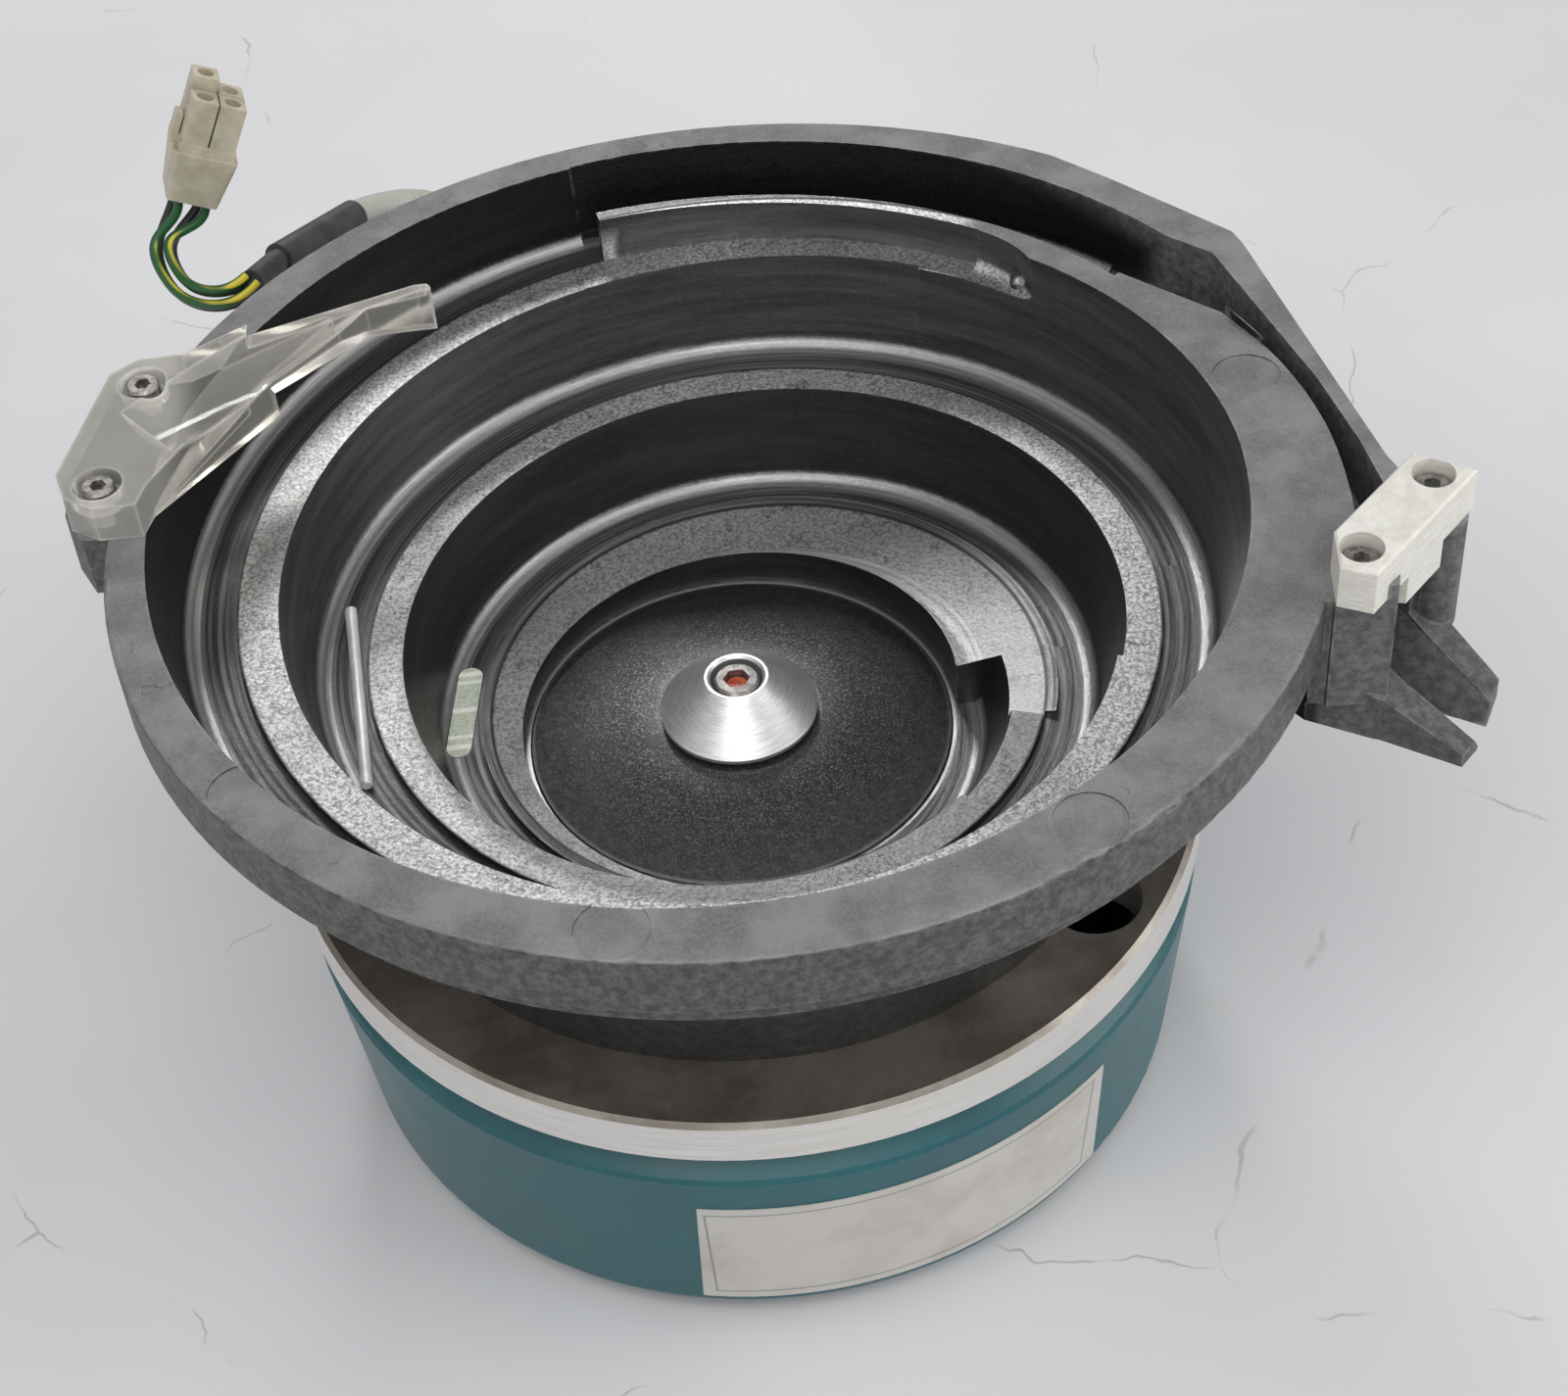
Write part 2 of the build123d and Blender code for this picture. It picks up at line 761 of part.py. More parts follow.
def leaf_screws(side):
    """Screws through bar and leaves into each block."""
    screw = socket_screw(4.2, 4.6, 2.0, 20.0, 2.3, 2.4)
    out = -side * (PACK_T / 2 + GAP + BAR_T)
    tilt = Location((0, 0, 0), (side * 90, 0, 0))
    places = []
    for angle in SPRING_ANGLES:
        for x in (-8.0, 8.0):
            places.append(leaf_frame(angle) * Location((x, out, side * CLAMP_MID)) * tilt)
    return placed_screws(screw, places)


# ---------------------------------------------------------------- electromagnet
CORE_W = 48.0
CORE_D = 30.0
CORE_Z = 17.0
CORE_TOP = 41.0
AIR_GAP = 1.4
ARM_T = 9.0
BRACKET_Z = FLOOR_TOP


def build_magnet_core():
    """E-shaped stack of laminations, legs upward."""
    leg = 10.0
    with BuildPart() as piece:
        with Locations((0, 0, CORE_Z)):
            Box(CORE_W, CORE_D, CORE_TOP - CORE_Z, align=(Align.CENTER, Align.CENTER, Align.MIN))
        for x in (-1, 1):
            with Locations((x * 12.5, 0, CORE_Z + 8.0)):
                Box(11.0, CORE_D + 2, 40, align=(Align.CENTER, Align.CENTER, Align.MIN), mode=Mode.SUBTRACT)
        for x in (-1, 1):
            for y in (-1, 1):
                with Locations((x * (CORE_W / 2 - leg / 2), y * (CORE_D / 2 - 4.5), 0)):
                    Cylinder(1.7, 200, mode=Mode.SUBTRACT)
    return piece


def build_bobbin():
    """Moulded bobbin round the middle leg."""
    low, high = CORE_Z + 8.2, CORE_TOP - 0.6
    with BuildPart() as piece:
        for z in (low, high - 1.4):
            with BuildSketch(Plane.XY.offset(z)):
                RectangleRounded(34.6, 51.0, 4.0)
            extrude(amount=1.4)
        with BuildSketch(Plane.XY.offset(low)):
            Rectangle(16.4, 33.0)
        extrude(amount=high - low)
        with BuildSketch(Plane.XY.offset(low - 1)):
            Rectangle(14.4, CORE_D + 0.6)
        extrude(amount=high - low + 2, mode=Mode.SUBTRACT)
    return piece


def build_coil():
    """Taped copper winding between the bobbin's flanges."""
    low, high = CORE_Z + 9.8, CORE_TOP - 2.2
    with BuildPart() as piece:
        with BuildSketch(Plane.XY.offset(low)):
            RectangleRounded(33.4, 49.6, 6.0)
            Rectangle(16.8, 33.4, mode=Mode.SUBTRACT)
        extrude(amount=high - low)
    return piece


def build_magnet_bracket():
    """Steel saddle that holds the core on the floor."""
    with BuildPart() as piece:
        with BuildSketch(Plane.XY.offset(BRACKET_Z)):
            RectangleRounded(CORE_W + 4, 56.0, 5.0)
        extrude(amount=CORE_Z - BRACKET_Z)
        with Locations(*[(x * 20, y * 23, 0) for x in (-1, 1) for y in (-1, 1)]):
            Cylinder(2.7, 200, mode=Mode.SUBTRACT)
        with Locations(*[(x * 19, y * 10.5, 0) for x in (-1, 1) for y in (-1, 1)]):
            Cylinder(1.4, 200, mode=Mode.SUBTRACT)
    return piece


def build_bracket_screws():
    """Screws that hold the bracket to the housing floor."""
    screw = socket_screw(4.2, 4.0, 2.4, 11.0, 2.3, 2.2)
    places = [Location((x * 20, y * 23, CORE_Z)) for x in (-1, 1) for y in (-1, 1)]
    return placed_screws(screw, places)


def build_core_screws():
    """Long thin screws down through the core's outer legs into the bracket."""
    screw = socket_screw(2.6, 0.9, 1.3, CORE_TOP - CORE_Z + 3.5, 1.2, 0.6)
    places = [Location((x * 19, y * 10.5, CORE_TOP)) for x in (-1, 1) for y in (-1, 1)]
    return placed_screws(screw, places)


def build_armature():
    """Lamination stack the magnet pulls, under the armature block."""
    bottom = CORE_TOP + AIR_GAP
    with BuildPart() as piece:
        with Locations((0, 0, bottom)):
            Box(CORE_W, CORE_D, ARM_T, align=(Align.CENTER, Align.CENTER, Align.MIN))
        for x in (-1, 1):
            with Locations((x * 16, 0, bottom)):
                Cylinder(2.2, 40, mode=Mode.SUBTRACT)
                Cylinder(4.4, 9.0, mode=Mode.SUBTRACT)
    return piece


def build_armature_screws():
    """Screws up through the armature into its block."""
    screw = socket_screw(4.1, 4.0, 2.0, 13.0, 2.0, 2.0)
    seat = CORE_TOP + AIR_GAP + 4.5
    places = [Location((x * 16, 0, seat), (180, 0, 0)) for x in (-1, 1)]
    return placed_screws(screw, places)


def build_armature_block():
    """Block under the plate that carries the armature and the clamp thread."""
    bottom = CORE_TOP + AIR_GAP + ARM_T
    with BuildPart() as piece:
        with Locations((0, 0, bottom)):
            Cylinder(HUB_R, PLATE_Z - bottom, align=(Align.CENTER, Align.CENTER, Align.MIN))
        Cylinder(3.0, 300, mode=Mode.SUBTRACT)
        for x in (-1, 1):
            with Locations((x * 16, 0, bottom)):
                Cylinder(2.1, 19, mode=Mode.SUBTRACT)
        with Locations(*[(x, y, PLATE_Z) for x, y, z in HUB_SCREWS[1::2]]):
            Cylinder(2.0, 18, mode=Mode.SUBTRACT)
    return piece


# ---------------------------------------------------------------- drum base
FOOT_PCD_R = 80.0
FOOT_ANGLES = (72.3, 192.3, 312.3)
MOUNT_PCD_R = 55.0
MOUNT_ANGLES = (84.3, 204.3, 324.3)
GLAND_ANGLE = 118.0
GLAND_Z = 30.0
GLAND_SEAT = -1.6


def drum_r(height):
    """Outside radius of the drum below its shoulder."""
    return DRUM_R_LOW + (DRUM_R_HIGH - DRUM_R_LOW) * (height - FLOOR_BOTTOM) / (DRUM_SHOULDER_Z - FLOOR_BOTTOM)


def gland_frame(out):
    """Location on the cable entry's axis: z outward, measured from the drum's wall."""
    return Location((0, 0, GLAND_Z), (0, 0, GLAND_ANGLE)) * Location((drum_r(GLAND_Z) + out, 0, 0), (0, 90, 0))


def build_base_housing():
    """Cast drum: floor, tapered wall and chamfered top."""
    low = FLOOR_BOTTOM
    with BuildPart() as piece:
        with BuildSketch(Plane.XZ):
            with BuildLine():
                Polyline((0, low), (drum_r(low) - 3.5, low))
                RadiusArc((drum_r(low) - 3.5, low), (drum_r(low + 4), low + 4), -4.0)
                Polyline(
                    (drum_r(low + 4), low + 4),
                    (drum_r(DRUM_SHOULDER_Z - 1.0), DRUM_SHOULDER_Z - 1.0),
                    (DRUM_R_HIGH - 0.8, DRUM_SHOULDER_Z + 0.2),
                    (DRUM_R_HIGH - 4.4, DRUM_TOP_Z),
                    (DRUM_BORE_R, DRUM_TOP_Z),
                    (DRUM_BORE_R - 2.5, FLOOR_TOP + 3.0),
                    (DRUM_BORE_R - 5.5, FLOOR_TOP),
                    (0, FLOOR_TOP),
                    (0, low),
                )
            make_face()
        revolve(axis=Axis.Z)
        with ring_of(FOOT_PCD_R, FOOT_ANGLES, low):
            Cylinder(10.2, 4.0, mode=Mode.SUBTRACT)
        with ring_of(FOOT_PCD_R, FOOT_ANGLES, low):
            Cylinder(2.5, 13.0, mode=Mode.SUBTRACT)
        with ring_of(MOUNT_PCD_R, MOUNT_ANGLES, low):
            Cylinder(2.5, 11.0, mode=Mode.SUBTRACT)
        with Locations(*[(x * 20, y * 23, FLOOR_TOP) for x in (-1, 1) for y in (-1, 1)]):
            Cylinder(2.5, 14.0, mode=Mode.SUBTRACT)
        for angle in SPRING_ANGLES:
            with Locations(spring_axes(angle)):
                for x in (-8.0, 8.0):
                    with Locations((x, -BLOCK_Y, low)):
                        Cylinder(2.6, 60, mode=Mode.SUBTRACT)
                    with Locations((x, -BLOCK_Y, low)):
                        Cylinder(4.6, 9.6, mode=Mode.SUBTRACT)
        with Locations(gland_frame(0)):
            Cylinder(5.1, 40, mode=Mode.SUBTRACT)
        with Locations(gland_frame(GLAND_SEAT)):
            Cylinder(10.0, 10, align=(Align.CENTER, Align.CENTER, Align.MIN), mode=Mode.SUBTRACT)
    return piece


def build_lower_screws():
    """Screws up through the floor into the lower spring blocks."""
    screw = socket_screw(4.2, 4.0, 2.0, 14.0, 2.0, 2.2)
    places = []
    for angle in SPRING_ANGLES:
        for x in (-8.0, 8.0):
            places.append(spring_axes(angle) * Location((x, -BLOCK_Y, FLOOR_BOTTOM + 4.8), (180, 0, 0)))
    return placed_screws(screw, places)


def build_upper_screws():
    """Screws down through the plate into the upper spring blocks."""
    screw = socket_screw(4.2, 4.6, 2.0, 17.0, 2.3, 2.4)
    return placed_screws(screw, upper_screw_places())


def build_hub_screws():
    """Screws down through the plate into the armature block."""
    screw = socket_screw(4.0, 4.0, 1.95, 14.0, 2.0, 2.2)
    places = [Location((x, y, BOWL_Z - 4.5)) for x, y, z in HUB_SCREWS[1::2]]
    return placed_screws(screw, places)


def build_dust_seal():
    """Rubber ring on the drum's top with a lip that stops short of the plate."""
    with BuildPart() as piece:
        with BuildSketch(Plane.XZ):
            with BuildLine():
                Polyline(
                    (DRUM_BORE_R + 0.3, DRUM_TOP_Z),
                    (DRUM_R_HIGH - 5.2, DRUM_TOP_Z),
                    (DRUM_R_HIGH - 5.6, DRUM_TOP_Z + 2.4),
                    (DRUM_R_HIGH - 7.2, PLATE_Z - 0.9),
                    (DRUM_R_HIGH - 8.4, PLATE_Z - 0.9),
                    (DRUM_R_HIGH - 7.8, DRUM_TOP_Z + 1.6),
                    (DRUM_BORE_R + 0.3, DRUM_TOP_Z + 1.6),
                    (DRUM_BORE_R + 0.3, DRUM_TOP_Z),
                )
            make_face()
        revolve(axis=Axis.Z)
    return piece


def build_rubber_feet():
    """Round rubber feet seated in the drum's underside."""
    with BuildPart() as piece:
        with BuildSketch(Plane.XZ):
            with BuildLine():
                Polyline((2.6, 2.6), (4.6, 2.6), (4.6, 0), (8.0, 0), (9.0, 1.0), (10.0, 6.0), (2.6, 6.0), (2.6, 2.6))
            make_face()
        revolve(axis=Axis.Z)
    foot = piece.part
    with BuildPart() as feet:
        for angle in FOOT_ANGLES:
            add(foot.moved(Location((*polar(FOOT_PCD_R, angle), 0))))
    return feet


def build_foot_screws():
    """Screws up through the feet into the drum."""
    screw = socket_screw(4.3, 2.0, 2.4, 7.6, 2.0, 1.2)
    places = [Location((*polar(FOOT_PCD_R, a), 2.6), (180, 0, 0)) for a in FOOT_ANGLES]
    return placed_screws(screw, places)


# ---------------------------------------------------------------- label
LABEL_T = 0.25
LABEL_LOW = 8.2
LABEL_HIGH = 45.0
LABEL_ANGLES = (-102.0, -45.0)


def build_label():
    """Plain rounded label wrapped on the drum's front."""
    middle = sum(LABEL_ANGLES) / 2
    half = math.radians(LABEL_ANGLES[1] - middle)
    width = 2 * 96.0 * math.sin(half)
    with BuildPart() as piece:
        with BuildSketch(Plane.XZ):
            with BuildLine():
                Polyline(
                    (drum_r(8.0) + 0.02, 8.0),
                    (drum_r(8.0) + LABEL_T, 8.0),
                    (drum_r(46.0) + LABEL_T, 46.0),
                    (drum_r(46.0) + 0.02, 46.0),
                    (drum_r(8.0) + 0.02, 8.0),
                )
            make_face()
        revolve(axis=Axis.Z)
        with Locations(Location((0, 0, (LABEL_LOW + LABEL_HIGH) / 2), (0, 0, middle))):
            with Locations((80, 0, 0)):
                Box(80, width, LABEL_HIGH - LABEL_LOW, mode=Mode.INTERSECT)
    return piece


# ---------------------------------------------------------------- track fittings
REFLECT_R = 60.3
REFLECT_ANGLE = 172.0


def reflector_place():
    """Middle of the reflector, lying on the groove and rising with it."""
    turn = 1.0 - REFLECT_ANGLE / 360.0
    rise = math.degrees(math.atan2(PITCH, 2 * math.pi * REFLECT_R))
    z = track_z(turn) - GROOVE_D
    return Location((*polar(REFLECT_R, REFLECT_ANGLE), z), (0, 0, REFLECT_ANGLE)) * Location((0, 0, 0), (-rise, 0, 0))


def reflector_blank(width, length, low, high):
    """Slot-shaped pad in the reflector's own frame."""
    with BuildPart(mode=Mode.PRIVATE) as pad:
        with BuildSketch(Plane.XY.offset(low)):
            SlotOverall(length, width, rotation=90)
        extrude(amount=high - low)
    return pad.part.moved(reflector_place())


def build_reflector():
    """Slot-shaped reflective pad let into the first turn."""
    with BuildPart() as piece:
        add(reflector_blank(5.4, 26.0, -1.2, 0.1))
    return piece


PIN_R = 1.3


def build_track_pin():
    """Loose turned pin lying as a chord across the second turn's groove."""
    start = Vector(-81.2, 20.4, 112.4)
    end = Vector(-77.1, -31.0, 110.5)
    along = Plane(origin=(start + end) / 2, z_dir=end - start)
    with BuildPart() as piece:
        with BuildSketch(along.offset(-(end - start).length / 2)):
            Circle(PIN_R)
        extrude(amount=(end - start).length)
        chamfer(piece.edges().filter_by(GeomType.CIRCLE), 0.3)
    return piece


# ---------------------------------------------------------------- lug and guide
GUIDE_SCREWS = ((-117.2, 42.5), (-124.0, 11.0))
PAD_T = 8.5
GUIDE_SEAT = 4.6


def bowl_lug():
    """Thickened corner of the rim that carries the guide."""
    with BuildPart(mode=Mode.PRIVATE) as piece:
        with BuildSketch(Plane.XY.offset(RIM_Z)):
            with BuildLine():
                Polyline(
                    (-105, 4), (-128.5, 4), (-132.5, 12), (-133.0, 27), (-125.5, 55), (-120, 58.5), (-100, 60), (-105, 4)
                )
            make_face()
        extrude(amount=-FLANGE_H)
        with BuildSketch(Plane.XY.offset(RIM_Z - FLANGE_H)):
            with BuildLine():
                Polyline((-105, 6), (-122, 6), (-126, 14), (-126, 27), (-119, 50), (-100, 56), (-105, 6))
            make_face()
        extrude(amount=-8)
    return piece.part


def guide_side(low):
    """Side view of the blade above and below the rim, from a level downward."""
    Polyline(
        (-26, low),
        (-15, min(low, RIM_Z - 0.5)),
        (25.8, 146),
        (26.2, 146),
        (26.2, 152),
        (55.3, 147.5),
        (72, 141.4),
        (72, 152.3),
        (12, RIM_Z + PAD_T),
        (-26, RIM_Z + PAD_T),
        (-26, low),
    )


def guide_blade():
    """Tapering blade that reaches from the pad in over the track, with a fin along its front."""
    root = Vector(-112, 31)
    run = (Vector(-57.5, 75) - root).normalized()
    side = Plane(origin=(root.X, root.Y, 0), x_dir=run, z_dir=run.cross(Vector(0, 0, 1)))
    with BuildPart(mode=Mode.PRIVATE) as over:
        with BuildSketch(side):
            with BuildLine():
                guide_side(RIM_Z)
            make_face()
        extrude(amount=60, both=True)
        with BuildSketch(Plane.XY.offset(RIM_Z)):
            with BuildLine():
                Polyline((-119, 9), (-114.6, 8.9), (-91.5, 47.0), (-72, 69.8), (-58.2, 77.8))
                Polyline((-58.2, 77.8), (-58.6, 80.4), (-62, 79.7), (-109.5, 50.9), (-119, 9))
            make_face()
        extrude(amount=20, mode=Mode.INTERSECT)
    with BuildPart(mode=Mode.PRIVATE) as under:
        with BuildSketch(side):
            with BuildLine():
                guide_side(RIM_Z)
            make_face()
        extrude(amount=60, both=True)
        with BuildSketch(Plane.XY.offset(RIM_Z)):
            with BuildLine():
                Polyline((-115.0, 10.4), (-114.6, 8.9), (-91.5, 47.0), (-72, 69.8), (-58.2, 77.8))
                Polyline((-58.2, 77.8), (-58.6, 80.4), (-62, 79.7), (-80, 68.7), (-93.6, 49.6), (-115.0, 10.4))
            make_face()
        extrude(amount=-20, mode=Mode.INTERSECT)
        with Locations((0, 0, 100)):
            Cylinder(115.4, 60, align=(Align.CENTER, Align.CENTER, Align.MIN), mode=Mode.INTERSECT)
    return over.part + under.part


def guide_trough():
    """Space of the hollow that narrows along the guide's top."""
    start = Vector(-113, 28, RIM_Z + PAD_T + 11.5)
    end = Vector(-56, 75, 156.3)
    run = end - start
    with BuildPart(mode=Mode.PRIVATE) as piece:
        with BuildSketch(Plane(origin=start, z_dir=run)):
            Circle(15.0)
        with BuildSketch(Plane(origin=end, z_dir=run)):
            Circle(6.2)
        loft()
    return piece.part


def build_guide():
    """Clear guide: screwed pad and the blade over the top turn."""
    with BuildPart() as piece:
        with BuildSketch(Plane.XY.offset(RIM_Z)):
            with BuildLine():
                Polyline(
                    (-132.8, 15), (-130.6, 7.3), (-124.7, 3.4), (-115.8, 3.4), (-113.8, 9.6), (-96, 39), (-96, 59.0), (-109.5, 50.9), (-118.5, 50.5), (-124.3, 46.5), (-132.8, 15)
                )
            make_face()
        extrude(amount=PAD_T)
        add(guide_blade())
        add(guide_trough(), mode=Mode.SUBTRACT)
        for x, y in GUIDE_SCREWS:
            with Locations((x, y, RIM_Z)):
                Cylinder(2.2, 40, mode=Mode.SUBTRACT)
            with Locations((x, y, RIM_Z + GUIDE_SEAT)):
                Cylinder(5.0, 10, align=(Align.CENTER, Align.CENTER, Align.MIN), mode=Mode.SUBTRACT)
    return piece


def build_guide_screws():
    """Socket screws through the guide's pad into the lug."""
    screw = socket_screw(3.45, 3.6, 1.65, 12.0, 1.75, 1.9)
    return placed_screws(screw, [Location((x, y, RIM_Z + GUIDE_SEAT)) for x, y in GUIDE_SCREWS])


# ---------------------------------------------------------------- bridge over the outlet
BRIDGE_T = 10.2
BRIDGE_SEAT = 4.2


def build_bridge_block():
    """Nylon block across the outlet with a tongue down between the posts."""
    with BuildPart() as piece:
        with BuildSketch(outlet_plane(RIM_Z)):
            with BuildLine():
                Polyline((-6.8, -12.0), (-0.5, -20.0), (6.3, -17.8), (6.3, 18.9), (-6.6, 16.2), (-6.8, -12.0))
            make_face()
        extrude(amount=BRIDGE_T)
        chamfer(piece.faces().sort_by(Axis.Z)[-1].edges(), 0.5)
        with BuildSketch(outlet_plane(RIM_Z)):
            with BuildLine():
                Polyline((-4.5, -4.7), (3.6, -4.7), (5.6, -3.6), (5.6, 9.2), (-4.5, 9.2), (-4.5, -4.7))
            make_face()
        extrude(amount=-8.5)
        with BuildSketch(outlet_plane(RIM_Z)):
            with Locations((0, -BRIDGE_HALF), (0, BRIDGE_HALF)):
                Circle(2.3)
        extrude(amount=BRIDGE_T, mode=Mode.SUBTRACT)
        with BuildSketch(outlet_plane(RIM_Z + BRIDGE_SEAT)):
            with Locations((0, -BRIDGE_HALF), (0, BRIDGE_HALF)):
                Circle(4.3)
        extrude(amount=BRIDGE_T, mode=Mode.SUBTRACT)
    return piece


def build_bridge_screws():
    """Socket screws down through the bridge into the posts."""
    screw = socket_screw(3.6, 3.4, 1.65, 13.0, 1.75, 2.0)
    seat = outlet_plane(RIM_Z + BRIDGE_SEAT).location
    return placed_screws(screw, [seat * Location((0, y * BRIDGE_HALF, 0)) for y in (-1, 1)])


# ---------------------------------------------------------------- cable and connector
TUBE_R = 3.4
SLEEVE_R = 2.9
SHRINK_R = 3.9
WIRE_R = 1.12
CABLE_OUT = 16.0


def pipe(points, radius, bore=0.0, ends=()):
    """Round cable or tube along a smooth path; ends are the directions it starts and stops in."""
    with BuildPart() as piece:
        with BuildLine() as path:
            Spline(*points, tangents=ends)
        wire = path.wires()[0]
        with BuildSketch(Plane(origin=wire @ 0, z_dir=wire % 0)):
            Circle(radius)
            if bore > 0:
                Circle(bore, mode=Mode.SUBTRACT)
        sweep(path=wire)
    return piece


def cable_start(out):
    """Point on the cable entry's axis, a distance outside the drum."""
    return gland_frame(out).position


TUBE_END = Vector(-79.9, 138.5, 131.5)
SHRINK_END = Vector(-95.2, 113.5, 139)
SLEEVE_END = Vector(-100.4, 100.0, 143)
CONNECTOR = Plane(origin=(-113.5, 120.9, 154.5), x_dir=(0.89, 0.11, -0.44), z_dir=(0.42, 0.16, 0.893))


def build_gland():
    """Threaded cable gland with a hexagon nut against the drum."""
    with BuildPart() as piece:
        with BuildSketch(Plane(gland_frame(GLAND_SEAT))):
            RegularPolygon(9.0, 6)
        extrude(amount=6.0)
        with BuildSketch(Plane(gland_frame(GLAND_SEAT + 6.0))):
            Circle(7.6)
        extrude(amount=7.0, taper=12)
        with BuildSketch(Plane(gland_frame(GLAND_SEAT))):
            Circle(5.0)
        extrude(amount=-14.0)
        with BuildSketch(Plane(gland_frame(-20.0))):
            Circle(TUBE_R + 0.5)
        extrude(amount=60.0, mode=Mode.SUBTRACT)
    return piece


def build_cable_tube():
    """Translucent tube from the drum up behind the bowl."""
    inside = [cable_start(out) for out in (-14, -4, 6, CABLE_OUT)]
    run = (SHRINK_END - TUBE_END).normalized()
    climb = (Vector(-62, 134, 50), Vector(-52, 154, 90), Vector(-60, 154, 120))
    ends = (inside[1] - inside[0], run)
    return pipe((*inside, *climb, TUBE_END + run * 2.5), TUBE_R, 2.2, ends)


def build_heat_shrink():
    """Shrunk sleeve over the tube's end and a slimmer one beyond it."""
    run = SHRINK_END - TUBE_END
    beyond = SLEEVE_END - SHRINK_END
    with BuildPart() as piece:
        with BuildSketch(Plane(origin=TUBE_END, z_dir=run)):
            Circle(SHRINK_R)
        extrude(amount=run.length + 0.5)
        with BuildSketch(Plane(origin=SHRINK_END, z_dir=beyond)):
            Circle(SLEEVE_R)
        extrude(amount=beyond.length)
        with BuildSketch(Plane(origin=TUBE_END, z_dir=run)):
            Circle(TUBE_R + 0.25)
        extrude(amount=6.0, mode=Mode.SUBTRACT)
    return piece


FACING = Vector(-0.015, -0.684, 0.729)
WIRE_RUN = (
    (Vector(-106.5, 97.3, 141.5), Vector(-0.09, -0.73, -0.68)),
    (Vector(-113.4, 100.3, 140.5), Vector(-0.48, -0.63, -0.59)),
    (Vector(-119.6, 108.5, 141.5), Vector(-0.89, -0.31, -0.29)),
    (Vector(-121.0, 116.0, 145.0), Vector(-0.99, 0.06, 0.06)),
)
# Of each wire: side across the bundle (-1 outer, 1 inner) and layer (-1 behind, 1 in front)
WIRE_SIDES = ((-1, -1), (1, -1), (1, 1), (-1, 1))


def wire_points(across, layer):
    """Path of one wire from the sleeve round to its socket."""
    run = (SLEEVE_END - SHRINK_END).normalized()
    outer = FACING.cross(run).normalized()
    start = SLEEVE_END + run * 1.3 - outer * (1.45 * across) + outer.cross(run) * (-1.45 * layer)
    loop = [middle - side * (1.65 * across) + FACING * (1.65 * layer) for middle, side in WIRE_RUN]
    below = CONNECTOR.from_local_coords(Vector(2.7 * across, -2.7 * layer, -6.0))
    end = CONNECTOR.from_local_coords(Vector(SOCKET_HALF * across, -SOCKET_HALF * layer, -0.1))
    return (start, *loop, below, end)


SOCKET_HALF = 3.17
REAR_LEN = 12.6
SILO_LEN = 13.0
SOCKETS = [(x * SOCKET_HALF, y * SOCKET_HALF) for x in (-1, 1) for y in (-1, 1)]


def build_wire(index):
    """One of the four insulated wires."""
    return pipe(wire_points(*WIRE_SIDES[index]), WIRE_R)


def build_connector():
    """Four-way plug housing: flared rear body and four square silos."""
    with BuildPart() as piece:
        for level, size in ((0.0, 11.8), (REAR_LEN, 14.8)):
            with BuildSketch(CONNECTOR.offset(level)):
                RectangleRounded(size, size, 1.0)
        loft()
        with BuildSketch(CONNECTOR.offset(REAR_LEN)):
            Rectangle(13.0, 13.0)
        extrude(amount=2.2)
        with BuildSketch(CONNECTOR.offset(REAR_LEN)):
            with Locations(*SOCKETS):
                Rectangle(5.9, 5.9)
        extrude(amount=SILO_LEN)
        with BuildSketch(CONNECTOR.offset(REAR_LEN)):
            with Locations((-SOCKET_HALF, SOCKET_HALF)):
                Rectangle(5.9, 5.9)
        extrude(amount=SILO_LEN + 3.0)
        with BuildSketch(CONNECTOR.offset(REAR_LEN)):
            with Locations((-7.3, 0)):
                Rectangle(1.6, 4.0)
        extrude(amount=7.0)
        with BuildSketch(CONNECTOR):
            with Locations(*SOCKETS):
                Circle(1.9)
        extrude(amount=36.0, mode=Mode.SUBTRACT)
    return piece


def build_contacts():
    """Crimped sockets inside the plug."""
    with BuildPart() as piece:
        with BuildSketch(CONNECTOR.offset(4.0)):
            with Locations(*SOCKETS):
                Circle(1.8)
                Circle(1.1, mode=Mode.SUBTRACT)
        extrude(amount=20.0)
    return piece


